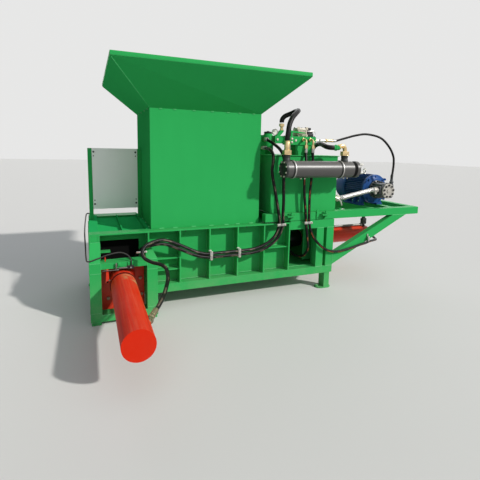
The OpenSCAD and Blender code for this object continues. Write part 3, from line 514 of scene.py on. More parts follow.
def settle(piece):
    # Closes seams and poles and turns all faces outwards
    editOnly(piece)
    bpy.ops.mesh.select_all(action="SELECT")
    bpy.ops.mesh.remove_doubles(threshold=closeEnough["merge"])
    bpy.ops.mesh.normals_make_consistent(inside=False)
    leaveEdit()


def applyPlace(piece, matrix=None):
    if matrix is not None:
        piece.matrix_world = matrix
    takeOnly(piece)
    bpy.ops.object.transform_apply(location=True, rotation=True, scale=True)


def roundEdges(piece, size, segments=2, test=None):
    def sharp(edge):
        return len(edge.link_faces) == 2 and edge.calc_face_angle(0) > closeEnough["sharpEdge"]

    pick(piece, "EDGE", test or sharp)
    bpy.ops.mesh.bevel(offset=size / 1000, segments=segments, affect="EDGES", clamp_overlap=True)
    leaveEdit()


def addBox(name, low, high, edge=0.0, segments=2, onMachine=True):
    # A block between two corners, with its edges rounded; one that is copied later starts off the machine
    a, b = [spot(*c) if onMachine else Vector(c) / 1000 for c in (low, high)]
    takeOnly(None)
    bpy.ops.mesh.primitive_cube_add(size=1, location=(a + b) / 2, scale=(b - a))
    piece = bpy.context.object
    piece.name = name
    applyPlace(piece)
    if edge:
        roundEdges(piece, edge, segments)
    return piece


def aim(place, direction, roll=0.0):
    # The matrix that carries a piece modelled along its own Z to a place and a direction
    d = Vector(direction).normalized()
    turn = d.to_track_quat("Z", "Y").to_matrix().to_4x4()
    return Matrix.Translation(spot(*place)) @ turn @ Matrix.Rotation(roll, 4, "Z")


def ringAround(place, count, start=0.0):
    # Matrices that repeat a piece round a line from front to back
    return [Matrix.Translation(spot(*place)) @ Matrix.Rotation(math.tau * (i + start) / count, 4, "Y")
            for i in range(count)]


def boltCircle(centre, radius, count, start, direction, scale=1.0):
    # Bolts on a circle, on a face that looks along the machine or to the front or back
    x, y, z = centre
    spots = []
    for i in range(count):
        angle = math.tau * (i + start) / count
        a, b = radius * math.cos(angle), radius * math.sin(angle)
        place = (x, y + a, z + b) if direction[0] else (x + a, y, z + b)
        spots.append(aim(place, direction) @ Matrix.Scale(scale, 4))
    return spots


def meshPiece(name, points, edges, faces):
    data = bpy.data.meshes.new(name)
    data.from_pydata(points, edges, faces)
    piece = bpy.data.objects.new(name, data)
    bpy.context.scene.collection.objects.link(piece)
    return piece


def turned(name, profile, place=None, direction=upward, steps=32):
    # Spins a profile of (radius, height) points in millimetres round its own Z, then places it
    points = [(r / 1000, 0, h / 1000) for r, h in profile]
    piece = meshPiece(name, points, [(i, i + 1) for i in range(len(points) - 1)], [])
    editOnly(piece)
    bpy.ops.mesh.select_all(action="SELECT")
    bpy.ops.mesh.spin(steps=steps, angle=math.tau, center=(0, 0, 0), axis=upward)
    leaveEdit()
    settle(piece)
    if place is not None:
        applyPlace(piece, aim(place, direction))
    return piece


def joined(name, pieces):
    takeOnly(None)
    for piece in pieces:
        piece.select_set(True)
    bpy.context.view_layer.objects.active = pieces[0]
    if len(pieces) > 1:
        bpy.ops.object.join()
    pieces[0].name = name
    return pieces[0]


def stamp(name, template, matrices):
    # Copies one modelled piece to many places, each with its own mesh, and joins them
    copies = []
    for matrix in matrices:
        copy = template.copy()
        copy.data = template.data.copy()
        bpy.context.scene.collection.objects.link(copy)
        copy.matrix_world = matrix @ template.matrix_world
        copies.append(copy)
    piece = joined(name, copies)
    applyPlace(piece)
    bpy.data.objects.remove(template, do_unlink=True)
    return piece


def hexHead(name, width, height, washer=0.0):
    # A hexagon head with its corners turned off, on a washer, along its own Z. Its width is across the flats,
    # and dividing it by 1732 gives the corners' radius in metres
    takeOnly(None)
    bpy.ops.mesh.primitive_cylinder_add(vertices=6, radius=width / 1732, depth=height / 1000,
                                        location=(0, 0, (height / 2 + washer) / 1000))
    head = bpy.context.object
    head.name = name
    applyPlace(head)
    top = (height + washer) / 1000 - closeEnough["onTop"]
    pick(head, "EDGE", lambda e: all(v.co.z > top for v in e.verts))
    bpy.ops.mesh.bevel(offset=height / 9000, segments=2, affect="EDGES")
    pick(head, "FACE", lambda f: f.normal.z > 0.95 and f.calc_center_median().z > top)
    bpy.ops.mesh.inset(thickness=width / 9000)
    leaveEdit()
    if washer:
        ring = turned(name + "Washer", [(0, 0), (width * 0.62, 0), (width * 0.66, washer * 0.4),
                                        (width * 0.64, washer), (0, washer)], steps=16)
        head = joined(name, [head, ring])
    return head


def hexHeads(name, size, spots):
    # The same head at many places; its size is width, height and, if it has one, the washer
    return stamp(name, hexHead(name + "Head", *size), spots)


def smoothPath(points, steps):
    # The same smooth curve through the points as the frame's own hoses follow
    p = [Vector(q) for q in points]
    out = []
    for i in range(len(p) - 1):
        a, b, c, d = p[max(i - 1, 0)], p[i], p[i + 1], p[min(i + 2, len(p) - 1)]
        for s in range(steps):
            t = s / steps
            out.append(0.5 * (2 * b + (c - a) * t + (2 * a - 5 * b + 4 * c - d) * t * t
                              + (3 * b - a - 3 * c + d) * t ** 3))
    return out + [p[-1]]


def sweptTube(name, path, radius, sides=14, start=None, swell=None):
    # A round tube along a path in millimetres, which knows how far along and around each point is
    way = [spot(*p) for p in path]
    dirs = [(way[min(i + 1, len(way) - 1)] - way[max(i - 1, 0)]).normalized() for i in range(len(way))]
    side = Vector(start or (upward if abs(dirs[0].z) < 0.9 else rightward))
    points, along, around, faces, gone = [], [], [], [], 0.0
    for i, (place, ahead) in enumerate(zip(way, dirs)):
        gone += (place - way[i - 1]).length if i else 0.0
        side = (side - ahead * side.dot(ahead)).normalized()
        up = ahead.cross(side)
        r = (radius if swell is None else radius * swell(i)) / 1000
        for k in range(sides + 1):
            angle = math.tau * k / sides
            points.append(place + r * (math.cos(angle) * side + math.sin(angle) * up))
            along.append(gone)
            around.append(k / sides)
    ring = sides + 1
    for i in range(len(way) - 1):
        for k in range(sides):
            a = i * ring + k
            faces.append((a, a + ring, a + ring + 1, a + 1))
    for end in (0, len(way) - 1):
        loop = [end * ring + k for k in range(sides)]
        faces.append(tuple(loop) if end == 0 else tuple(reversed(loop)))
    piece = meshPiece(name, points, [], faces)
    for label, values in (("along", along), ("around", around)):
        piece.data.attributes.new(label, "FLOAT", "POINT").data.foreach_set("value", values)
    return piece


def finish(piece, material, replaces=(), angle=0.7):
    # Gives a modelled piece its finish. All these pieces stay on the frame: the rams keep their own nodes
    takeOnly(piece)
    if angle:
        bpy.ops.object.shade_smooth_by_angle(angle=angle)
    piece.data.materials.clear()
    piece.data.materials.append(material)
    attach(piece, "frame")
    if replaces:
        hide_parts(*replaces)


# The frame's own nodes: a finish by material slot, some with their own, and softened edges
nodeEdges = {"merge": 0.00005, "width": 0.002, "angle": 0.6, "segments": 2}
nodePaints = {
    "ejector_barrel": barrelPaint, "main_barrel": mainBarrelPaint, "chamber_roof": deckWithPaintedLight,
    "deck_plate": deckWithPaintedLight, "hopper_box": hopperPaint, "hopper_flare": hopperPaint,
}


def softenNode(node, e):
    weld = node.modifiers.new("weld", "WELD")
    weld.merge_threshold = e["merge"]
    bevel = node.modifiers.new("bevel", "BEVEL")
    bevel.width = e["width"]
    bevel.limit_method = "ANGLE"
    bevel.angle_limit = e["angle"]
    bevel.segments = e["segments"]


def dressNodes():
    for part in frame["record"]["subparts"]:
        node = nodes[part["node"]]
        node.data.materials.clear()
        node.data.materials.append(nodePaints.get(part["node"], paints[part["material_slot"]]))
        if part["material_slot"] != "black_rubber":
            softenNode(node, nodeEdges)


dressNodes()
print("finishes are on the frame's nodes")

# Hydraulic hoses, each along its route from fitting to fitting, in millimetres
hoses = {
    "ejectorHoseA": {"node": "ejector_hose_a", "diameter": 32, "steps": 6, "route": [
        (1760, 250, 1560), (1760, 225, 1560), (1752, 120, 1552), (1748, 40, 1530), (1740, -20, 1486),
        (1734, -36, 1430), (1728, -34, 1312), (1768, -34, 1129), (1820, -34, 888), (1832, -34, 780),
        (1786, -34, 664), (1690, -34, 588), (1563, -34, 546), (1409, -34, 536), (1130, -34, 533),
        (1068, -34, 533), (1024, -34, 538), (934, -36, 569), (768, -50, 654), (625, -80, 714),
        (487, -130, 700), (430, -160, 650), (440, -200, 596), (496, -260, 571), (551, -330, 569),
        (587, -400, 552), (583, -500, 505), (540, -640, 474), (493, -770, 457), (448, -850, 434),
        (410, -910, 420), (399, -929, 416), (388, -948, 412)]},
    "ejectorHoseB": {"node": "ejector_hose_b", "diameter": 32, "steps": 6, "route": [
        (1776, 250, 1650), (1776, 225, 1650), (1800, 120, 1612), (1838, 20, 1545), (1858, -30, 1460),
        (1862, -36, 1330), (1862, -34, 1228), (1870, -34, 1021), (1868, -34, 866), (1870, -34, 764),
        (1814, -34, 636), (1704, -34, 552), (1566, -34, 509), (1409, -34, 500), (1130, -34, 497),
        (1060, -34, 499), (934, -34, 532), (768, -44, 614), (625, -66, 674), (500, -70, 666),
        (440, -26, 630), (404, 20, 570), (378, 28, 516), (354, 28, 476)]},
    "mainHoseA": {"node": "main_hose_a", "diameter": 28, "steps": 6, "stripe": (-0.3, -0.95, 0), "route": [
        (2137, 10, 1567), (2137, 10, 1530), (2133, -2, 1486), (2122, -28, 1420), (2108, -38, 1330),
        (2106, -36, 1237), (2112, -34, 1130), (2123, -34, 1025), (2148, -34, 831), (2160, -32, 740),
        (2186, -22, 600), (2236, 40, 465), (2218, 110, 370), (2160, 200, 360), (2120, 300, 420),
        (2111, 364, 440), (2110, 384, 440), (2110, 400, 440)]},
    "mainHoseB": {"node": "main_hose_b", "diameter": 28, "steps": 6, "stripe": (-0.5, -0.85, 0), "route": [
        (2222, 10, 1567), (2222, 10, 1530), (2217, -2, 1486), (2205, -28, 1420), (2194, -38, 1330),
        (2191, -36, 1236), (2184, -34, 1130), (2181, -34, 1023), (2187, -34, 829), (2194, -32, 770),
        (2218, -30, 690), (2285, -30, 577), (2415, -34, 467), (2570, -24, 425), (2749, -18, 442),
        (2900, -18, 474), (2989, -16, 490), (3070, 20, 494), (3240, 130, 470), (3350, 220, 452),
        (3396, 320, 458), (3400, 390, 462), (3400, 410, 462)]},
    "pressureHose": {"node": "pressure_hose", "diameter": 25, "steps": 8, "route": [
        (2600, 200, 1657), (2640, 200, 1657), (2760, 190, 1690), (2900, 165, 1728), (3041, 145, 1744),
        (3206, 105, 1706), (3320, 80, 1605), (3374, 60, 1500), (3380, 50, 1410), (3366, 40, 1320),
        (3350, 32, 1262), (3350, 32, 1234)]},
    "coolerHoseA": {"diameter": 50, "steps": 7, "route": [
        (1822, -150, 1633), (1822, -150, 1650), (1823, -150, 1672), (1830, -147, 1715), (1848, -134, 1790),
        (1890, -104, 1852), (1950, -60, 1900), (2005, -10, 1932), (2040, 40, 1948), (2045, 100, 1945),
        (2020, 155, 1925), (1976, 190, 1902), (1950, 199, 1874), (1941, 200, 1850), (1941, 200, 1832)]},
    "coolerHoseB": {"node": "cooler_hoses", "diameter": 50, "steps": 7, "route": [
        (2365, -150, 1578), (2350, -150, 1578), (2330, -145, 1579), (2314, -130, 1582), (2306, -108, 1587),
        (2307, -75, 1595), (2314, -35, 1605), (2324, 20, 1614), (2336, 90, 1614), (2340, 160, 1594),
        (2342, 215, 1548), (2342, 232, 1518), (2342, 232, 1492)]},
}
sensorCable = {"diameter": 12, "route": [
    (12, 720, 850), (0, 720, 850), (-18, 700, 846), (-28, 600, 806), (-34, 400, 770), (-34, 200, 740),
    (-30, 60, 680), (-26, -60, 600), (-10, -110, 580), (77, -100, 600), (160, -90, 622), (250, -84, 630),
    (310, -100, 606), (334, -130, 572), (336, -134, 548), (336, -134, 530)]}
suctionPipe = {"diameter": 52, "ripple": 0.025, "route": [
    (2660, 110, 1012), (2688, 110, 1012), (2730, 108, 1017), (2800, 100, 1032), (2880, 90, 1050),
    (2970, 76, 1072), (3050, 64, 1092), (3086, 60, 1100), (3112, 60, 1100)]}


def layHoses():
    for label, hose in hoses.items():
        path = smoothPath(hose["route"], hose["steps"])
        tube = sweptTube(label, path, hose["diameter"] / 2, sides=18, start=hose.get("stripe"))
        cover = oldHose if label.startswith("ejector") else paints["black_rubber"]
        finish(tube, cover, angle=1.2, replaces=[hose["node"]] if "node" in hose else [])


def layCable(c):
    tube = sweptTube("sensorCable", smoothPath(c["route"], 6), c["diameter"] / 2, sides=12)
    finish(tube, blackPlastic, angle=1.2, replaces=["sensor_cable"])


def laySuctionPipe(s):
    # A corrugated pipe, smooth at both ends
    path = smoothPath(s["route"], 16)
    ends = (0, len(path) - 1)
    tube = sweptTube("suctionPipe", path, s["diameter"] / 2, sides=28, swell=lambda i: 1.0 if i in ends
                     else 1 - s["ripple"] + s["ripple"] * math.cos(i * math.pi))
    finish(tube, wireBraid, angle=0.9, replaces=["suction_pipe"])


layHoses()
layCable(sensorCable)
laySuctionPipe(suctionPipe)
print("hoses are laid,", len(hoses), "of them")

# Crimped steel ferrules and hexagon nuts on the hose ends, modelled for a 32 mm hose
hoseEnds = {
    "radius": 16, "ferruleLength": 54, "grooves": 5, "nut": (38, 24), "nutSink": 4, "barrelStretch": 1.35,
}
barrelNut = {
    "place": (350, -1013, 398.2), "direction": (31, 53, 11), "hex": (48, 26), "hexPlace": (358, -999, 401.1),
}


def hoseFerrule(spec):
    r, length, grooves = spec["radius"], spec["ferruleLength"], spec["grooves"]
    profile = [(r - 2, -length), (r + 2.5, -length), (r + 4, -length + 2)]
    pitch = (length - 8) / grooves
    for i in range(grooves):
        z = -length + 4 + i * pitch
        profile += [(r + 4, z), (r + 4, z + pitch * 0.6), (r + 2.7, z + pitch * 0.7),
                    (r + 2.7, z + pitch * 0.9)]
    return turned("ferrule", profile + [(r + 4, -4), (r + 1, 0), (r - 6, 0)], steps=24)


def endMatrices(which):
    # One matrix for each named hose's first end, last end or both
    out = []
    for label, first, last in which:
        route, k = hoses[label]["route"], hoses[label]["diameter"] / 2 / hoseEnds["radius"]
        ends = ([(route[0], route[1])] if first else []) + ([(route[-1], route[-2])] if last else [])
        out += [aim(a, Vector(a) - Vector(b)) @ Matrix.Scale(k, 4) for a, b in ends]
    return out


def crimpHoses(spec):
    crimped = endMatrices([("ejectorHoseA", True, True), ("ejectorHoseB", True, True),
                           ("mainHoseA", True, True), ("mainHoseB", True, True), ("pressureHose", True, False)])
    crimped[1] = crimped[1] @ Matrix.Diagonal((1, 1, spec["barrelStretch"], 1))
    finish(stamp("hoseFerrules", hoseFerrule(spec), crimped[:1] + crimped[2:]),
           ferruleSteel)
    finish(stamp("barrelFerrule", hoseFerrule(spec), crimped[1:2]), oldBrass)
    nut = hexHead("hoseNut", *spec["nut"])
    applyPlace(nut, Matrix.Translation((0, 0, -spec["nutSink"] / 1000)))
    finish(stamp("hoseNuts", nut, crimped), paints["brass"], angle=0.5)
    # The pump's end of the pressure hose is painted over
    finish(stamp("pumpFerrule", hoseFerrule(spec), endMatrices([("pressureHose", False, True)])), darkBolt)


def makeBarrelNut(b):
    # Hose A ends in a long brass nut on the barrel's stub
    body = turned("barrelNut", [(0, 0), (20, 0), (23, 3), (23, 40), (21, 42), (21, 54), (22, 56), (22, 76),
                                (20, 80), (0, 80)], place=b["place"], direction=b["direction"], steps=24)
    return joined("barrelNut", [body, hexHeads("barrelHex", b["hex"], [aim(b["hexPlace"], b["direction"])])])


crimpHoses(hoseEnds)
finish(makeBarrelNut(barrelNut), oldBrass, angle=0.5)

# Elbows and adaptors that carry the hoses on, in place of the frame's plain rods
fittings = {
    "bore": 11, "nut": (32, 18),
    "elbows": [[(x, 80, 1655), (x, 44, 1655), (x, 22, 1650), (x, 11, 1634), (x, 10, 1612), (x, 10, 1580)]
               for x in (2137, 2222)],
    "straights": [((2298, 200, 1657), (2400, 200, 1657)), ((1776, 290, 1650), (1776, 250, 1650)),
                  ((1760, 290, 1560), (1760, 250, 1560))],
}
suctionUnion = {
    "start": (2562, 110, 1012), "length": 98, "radius": 33, "nutHeight": 16, "nutsAt": (10, 74),
    "leverWidth": 7, "lever": [(44, -50, 4), (60, -54, -4), (84, -56, -26), (104, -52, -58), (110, -48, -78)],
    "stemAt": 50,
}


def makeFittings(spec):
    parts, nuts = [], []
    for elbow in spec["elbows"]:
        parts.append(sweptTube("elbow", smoothPath(elbow, 5), spec["bore"], sides=16))
        nuts += [aim(elbow[0], Vector(elbow[1]) - Vector(elbow[0])), aim(elbow[-1], upward)]
    for a, b in spec["straights"]:
        parts.append(sweptTube("straight", [a, b], spec["bore"], sides=16))
        nuts.append(aim(a, Vector(b) - Vector(a)))
    return joined("brassFittings", parts + [hexHeads("fittingNuts", spec["nut"], nuts)])


def makeUnion(u):
    x, y, z = u["start"]
    r, n = u["radius"], u["length"]
    body = turned("union", [(0, 0), (r * 0.9, 0), (r * 0.9, 10), (r * 0.72, 14), (r * 0.72, 22), (r, 26),
                            (r, 34), (r * 0.8, 40), (r * 0.86, 50), (r * 0.8, 60), (r, 66), (r, 76),
                            (r * 0.84, 80), (r * 0.84, n), (0, n)],
                  place=(x, y, z), direction=rightward, steps=28)
    hexes = hexHeads("unionHex", (r * 2, u["nutHeight"]),
                     [aim((x + at, y, z), rightward) for at in u["nutsAt"]])
    return joined("suctionUnion", [body, hexes])


def makeUnionLever(u):
    # The ball valve's stem and its bright handle, which hangs open along the pipe
    start = Vector(u["start"])
    stem = turned("stem", [(0, 0), (11, 0), (11, 44), (8, 46), (8, 54), (0, 54)],
                  place=start + Vector((u["stemAt"], 0, 0)), direction=frontward)
    handle = sweptTube("handle", smoothPath([start + Vector(p) for p in u["lever"]], 5), u["leverWidth"],
                       sides=12, swell=lambda i: 1.25 if i > 12 else 1.0)
    return joined("unionLever", [stem, handle])


finish(makeUnion(suctionUnion), paleUnion, angle=0.5)
finish(makeFittings(fittings), paints["brass"], replaces=["hose_fittings"], angle=0.5)
finish(makeUnionLever(suctionUnion), paints["bright_steel"])
print("hose ends, fittings and the suction union are on")

# The electric motor: finned body, end shield, fan cowl, feet, terminal box and lifting eye
motor = {
    "centre": (3280, 245, 1090), "length": 370, "coreRadius": 150, "finRadius": 178, "fins": 44, "finThick": 5,
    "finInset": 14, "feetGap": (-0.62, 0.42), "terminalGap": (0.82, -0.25, 0.52), "shieldDepth": 42,
    "shieldRibs": 8, "ears": 4, "earSize": (16, 30), "rearDepth": 18,
    "cowlLength": 170, "cowlRadius": 182, "grilleRings": 5, "grilleHole": 30, "spokes": 8, "fanSetBack": 35,
    "bolt": (24, 14, 3), "cowlBolts": (0.6, 2.5, 3.8, 5.6), "eyeAt": (185, 174), "eyeRing": 22, "eyeWire": 5.5,
}
motorFoot = {
    "drop": 206, "plate": (96, 186), "plateInset": 34, "plateThick": 20, "web": (100, 150),
    "websAt": (40, 150, 262), "webThick": 22, "webTop": 88, "webFlare": 28, "bolt": 166, "boltsAt": (80, 296),
}
terminal = {
    "case": ((138, 112, -38), (226, 288, 86)), "lid": ((226, 110, -40), (240, 290, 88)), "lidBorder": 12,
    "lidRise": 4, "screwY": (122, 278), "screwZ": (-28, 76), "screw": (9, 5), "glandAt": (182, 240),
}


def motorFins(m):
    inner, outer, half, inset = m["coreRadius"] - 6, m["finRadius"], m["finThick"] / 2, m["finInset"]
    fin = addBox("fin", (-half, inset, inner), (half, m["length"] - inset, outer), onMachine=False)
    roundEdges(fin, 1.6, 1, lambda e: all(v.co.z > outer / 1000 - 1e-4 for v in e.verts))
    # Where the feet and the terminal box sit, the fins are left out
    feetTop, feetSide = m["feetGap"]
    boxSide, boxLow, boxHigh = m["terminalGap"]
    spots = []
    for i, matrix in enumerate(ringAround(m["centre"], m["fins"], 0.5)):
        angle = math.tau * (i + 0.5) / m["fins"]
        side, top = math.sin(angle), math.cos(angle)
        overFeet = top < feetTop and abs(side) > feetSide
        underTerminal = side > boxSide and boxLow < top < boxHigh
        if not overFeet and not underTerminal:
            spots.append(matrix)
    return stamp("fins", fin, spots)


def addLump(radius, height):
    # A small round boss along its own Z, with a soft shoulder
    return turned("lump", [(0, 0), (radius, 0), (radius, height * 0.8), (radius * 0.85, height * 0.95),
                           (radius * 0.7, height), (0, height)], steps=16)


def motorShield(m):
    x, y, z = m["centre"]
    r, d, rear = m["finRadius"], m["shieldDepth"], m["rearDepth"]
    core = turned("core", [(0, 0), (m["coreRadius"], 0), (m["coreRadius"], m["length"]), (0, m["length"])],
                  place=(x, y, z), direction=backward, steps=64)
    shield = turned("shield", [(0, -14), (r - 6, -14), (r, -11), (r, 14), (r - 4, 17), (r - 18, 18),
                               (r - 30, 22), (r - 48, d - 8), (r - 56, d - 4), (92, d - 4), (88, d), (0, d)],
                    place=(x, y, z), direction=frontward, steps=64)
    plate = turned("rear", [(0, 0), (r - 4, 0), (r, 3), (r, rear), (0, rear)],
                   place=(x, y + m["length"] - rear, z), direction=backward, steps=64)
    # Ribs of the cast shield, from the boss to the rim, and ears for its bolts
    rib = addBox("shieldRib", (-5, -30, 90), (5, 0, r - 18), edge=2, onMachine=False)
    ribs = stamp("shieldRibs", rib, ringAround((x, y, z), m["shieldRibs"]))
    atRim = Matrix.Translation((0, 0, (r - 9) / 1000)) @ Matrix.Rotation(-math.pi / 2, 4, "X")
    ears = stamp("shieldEars", addLump(*m["earSize"]), [
        matrix @ atRim for matrix in ringAround((x, y - 17, z), m["ears"], 0.5)])
    return [core, shield, plate, ribs, ears]


def motorCowl(m):
    x, y, z = m["centre"]
    y += m["length"]
    r, n = m["cowlRadius"], m["cowlLength"]

    def ring(name, profile, steps):
        return turned(name, profile, place=(x, y, z), direction=backward, steps=steps)

    parts = [ring("cowlShell", [(r - 3, -2), (r, 0), (r, n - 26), (r - 4, n - 12), (r - 16, n - 2), (r - 30, n),
                                (r - 34, n), (r - 34, n - 3), (r - 18, n - 6), (r - 7, n - 16), (r - 3, n - 28),
                                (r - 3, -2)], 64)]
    for i in range(m["grilleRings"]):
        wire = m["grilleHole"] + (r - 66) * i / (m["grilleRings"] - 1)
        parts.append(ring("grille", [(wire - 3, n - 6), (wire + 3, n - 6), (wire + 3, n - 1), (wire - 3, n - 1),
                                     (wire - 3, n - 6)], 48))
    spoke = addBox("spoke", (-3.5, -6, 22), (3.5, 0, r - 30), edge=1, onMachine=False)
    parts.append(stamp("spokes", spoke, ringAround((x, y + n, z), m["spokes"])))
    parts.append(ring("hub", [(0, n - 8), (32, n - 8), (32, n - 1), (28, n), (0, n)], 24))
    return joined("motorCowl", parts)


def motorFeet(m, f):
    x, y, z = m["centre"]
    low = z - f["drop"]
    parts = []
    for side in (-1, 1):
        a, b = sorted(x + side * reach for reach in f["plate"])
        parts.append(addBox("footPlate", (a, y + f["plateInset"], low),
                            (b, y + m["length"] - f["plateInset"], low + f["plateThick"]), edge=4))
        c, d = sorted(x + side * reach for reach in f["web"])
        outer = spot(x + side * f["web"][1], 0, low + 40)
        for at in f["websAt"]:
            web = addBox("footWeb", (c, y + at, low + 16), (d, y + at + f["webThick"], z - f["webTop"]), edge=3)
            # The web flares outwards at its foot
            pick(web, "VERT", lambda v: v.co.z < outer.z and abs(v.co.x - outer.x) < 0.006)
            bpy.ops.transform.translate(value=(side * f["webFlare"] / 1000, 0, 0))
            leaveEdit()
            parts.append(web)
    return joined("motorFeet", parts)


def terminalBox(m, t):
    x, y, z = m["centre"]
    case, lid = [addBox(name, *[Vector(m["centre"]) + Vector(corner) for corner in t[name]],
                        edge=edge, segments=3)
                 for name, edge in (("case", 8), ("lid", 6))]
    pickFacing(lid, rightward)
    bpy.ops.mesh.inset(thickness=t["lidBorder"] / 1000)
    bpy.ops.mesh.extrude_region_move(TRANSFORM_OT_translate={"value": (t["lidRise"] / 1000, 0, 0)})
    leaveEdit()
    screws = hexHeads("lidScrews", t["screw"], [aim((x + t["lid"][1][0], y + a, z + b), rightward)
                                                for a in t["screwY"] for b in t["screwZ"]])
    gland = turned("gland", [(0, 0), (17, 0), (17, 10), (14, 12), (14, 22), (10, 28), (0, 28)],
                   place=(x + t["glandAt"][0], y + t["glandAt"][1], z + t["case"][0][2]),
                   direction=downward, steps=20)
    return joined("terminalBox", [case, lid, screws, gland])


def motorFan(m):
    # The fan behind the grille
    x, y, z = m["centre"]
    return turned("motorFan", [(0, 0), (120, 0), (128, 6), (128, 12), (40, 16), (34, 60), (0, 60)],
                  place=(x, y + m["length"] + m["fanSetBack"], z), direction=backward, steps=32)


def motorBolts(m, f):
    x, y, z = m["centre"]
    outwards = Matrix.Translation((0, 0, (m["finRadius"] - 9) / 1000)) @ Matrix.Rotation(math.pi / 2, 4, "X")
    shield = [matrix @ outwards for matrix in ringAround((x, y - 46, z), m["ears"], 0.5)]
    feet = [aim((x + side * f["bolt"], y + at, z - f["drop"] + f["plateThick"]), upward)
            for side in (-1, 1) for at in f["boltsAt"]]
    r = m["cowlRadius"] - 1
    cowl = [aim((x + r * math.cos(a), y + m["length"] + 24, z + r * math.sin(a)), (math.cos(a), 0, math.sin(a)))
            @ Matrix.Scale(0.5, 4) for a in m["cowlBolts"]]
    return hexHeads("motorBolts", m["bolt"], shield + feet + cowl)


def motorEye(m):
    x, y, z = m["centre"]
    ring, wire = m["eyeRing"], m["eyeWire"]
    takeOnly(None)
    bpy.ops.mesh.primitive_torus_add(major_radius=ring / 1000, minor_radius=wire / 1000, major_segments=28,
                                     minor_segments=12, location=(0, 0, (ring + 20) / 1000),
                                     rotation=(0, math.pi / 2, 0))
    loop = bpy.context.object
    applyPlace(loop)
    base = turned("eyeBase", [(0, 0), (17, 0), (19, 4), (17, 9), (9, 12), (8, 20), (0, 20)], steps=20)
    eye = joined("motorEye", [loop, base])
    applyPlace(eye, Matrix.Translation(spot(x, y + m["eyeAt"][0], z + m["eyeAt"][1])))
    return eye


bluePaint = paints["blue_paint"]
finish(joined("motorBody", [motorFins(motor)] + motorShield(motor)), bluePaint,
       replaces=["motor_body"], angle=0.6)
finish(motorCowl(motor), bluePaint, replaces=["motor_cowl"])
finish(motorFeet(motor, motorFoot), bluePaint, replaces=["motor_feet"])
finish(terminalBox(motor, terminal), bluePaint, replaces=["terminal_box"])
finish(motorFan(motor), blackPlastic)
finish(motorBolts(motor, motorFoot), bluePaint)
finish(motorEye(motor), zincBolt)
print("motor is built")

# The piston pump on its bell housing, with its bolted end plate, suction flange and outlet
pump = {
    "axis": (3280, 1090), "bell": (203, 124, 110), "bellRibs": 8, "block": 86, "blockY": (12, 124),
    "blockEdge": 22, "panel": (13, -5), "plate": (12, 87), "boltFace": -9, "boltCircle": 68, "bolts": 9,
    "bolt": (22, 11), "bellBoltCircle": 98,
    "suction": (3194, 60, 1100), "flange": 46, "flangeThick": 22, "flangeBolt": 34, "outlet": (3350, 32, 1176),
    "drain": (60, 10, 28),
}


def makeBell(p):
    x, z = p["axis"]
    a, b, r = p["bell"]
    n = a - b
    bell = turned("bell", [(0, 0), (r, 0), (r, 12), (r - 6, 14), (r - 20, 22), (r - 22, n - 20),
                           (r - 8, n - 12), (r - 8, n), (0, n)], place=(x, a, z), direction=frontward, steps=48)
    rib = addBox("bellRib", (-4, 12, r - 26), (4, n - 10, r - 2), edge=1.5, onMachine=False)
    return [bell, stamp("bellRibs", rib, ringAround((x, b, z), p["bellRibs"]))]


def makePumpBlock(p):
    (x, z), s, (y0, y1) = p["axis"], p["block"], p["blockY"]
    block = addBox("block", (x - s, y0, z - s), (x + s, y1, z + s))
    roundEdges(block, p["blockEdge"], 4, lambda e: abs((e.verts[0].co - e.verts[1].co).normalized().y) > 0.9)
    for side in (rightward, leftward, upward, downward):
        insetPanel(block, side, *p["panel"])
    fx, fy, fz = p["suction"]
    f = p["flange"]
    flange = addBox("flange", (fx - p["flangeThick"], fy - f, fz - f), (fx, fy + f, fz + f), edge=9, segments=3)
    outlet = turned("outlet", [(0, -84), (20, -84), (20, 6), (24, 8), (24, 22), (16, 26), (16, 58), (0, 58)],
                    place=p["outlet"], steps=24)
    return [block, flange, outlet]


def makePumpPlate(p):
    (x, z), (y, r) = p["axis"], p["plate"]
    return turned("pumpPlate", [(0, 0), (r - 3, 0), (r, 3), (r, 19), (r - 3, 22), (r - 30, 22), (r - 33, 19),
                                (24, 19), (22, 26), (18, 27), (0, 27)],
                  place=(x, y, z), direction=frontward, steps=48)


def makeSuctionNeck(p):
    fx, fy, fz = p["suction"]
    neck = turned("neck", [(0, 0), (35, 0), (35, 12), (30, 18), (30, 34), (35, 38), (35, 50), (31, 54),
                           (31, 82), (0, 82)], place=(fx, fy, fz), direction=leftward, steps=32)
    dx, dy, dz = p["drain"]
    drain = turned("drain", [(0, 0), (10, 0), (13, 4), (15, 12), (13, 20), (9, 24), (0, 25)],
                   place=(fx - dx, fy - dy, fz - dz), direction=(0, -0.3, -1), steps=20)
    return joined("suctionNeck", [neck, drain])


def pumpBolts(p):
    x, z = p["axis"]
    spots = boltCircle((x, p["boltFace"], z), p["boltCircle"], p["bolts"], 0.25, frontward)
    fx, fy, fz = p["suction"]
    spots += [aim((fx - p["flangeThick"], fy + i * p["flangeBolt"], fz + j * p["flangeBolt"]), leftward)
              @ Matrix.Scale(0.8, 4) for i in (-1, 1) for j in (-1, 1)]
    spots += boltCircle((x, p["bell"][0] - 14, z), p["bellBoltCircle"], p["bellRibs"], 0.5,
                        frontward, scale=0.8)
    return hexHeads("pumpBolts", p["bolt"], spots)


finish(joined("pumpBody", makeBell(pump) + makePumpBlock(pump)), pumpPaint,
       replaces=["pump"], angle=0.6)
finish(makePumpPlate(pump), palePlate)
finish(makeSuctionNeck(pump), palePlate)
finish(pumpBolts(pump), darkBolt)
print("pump is built")

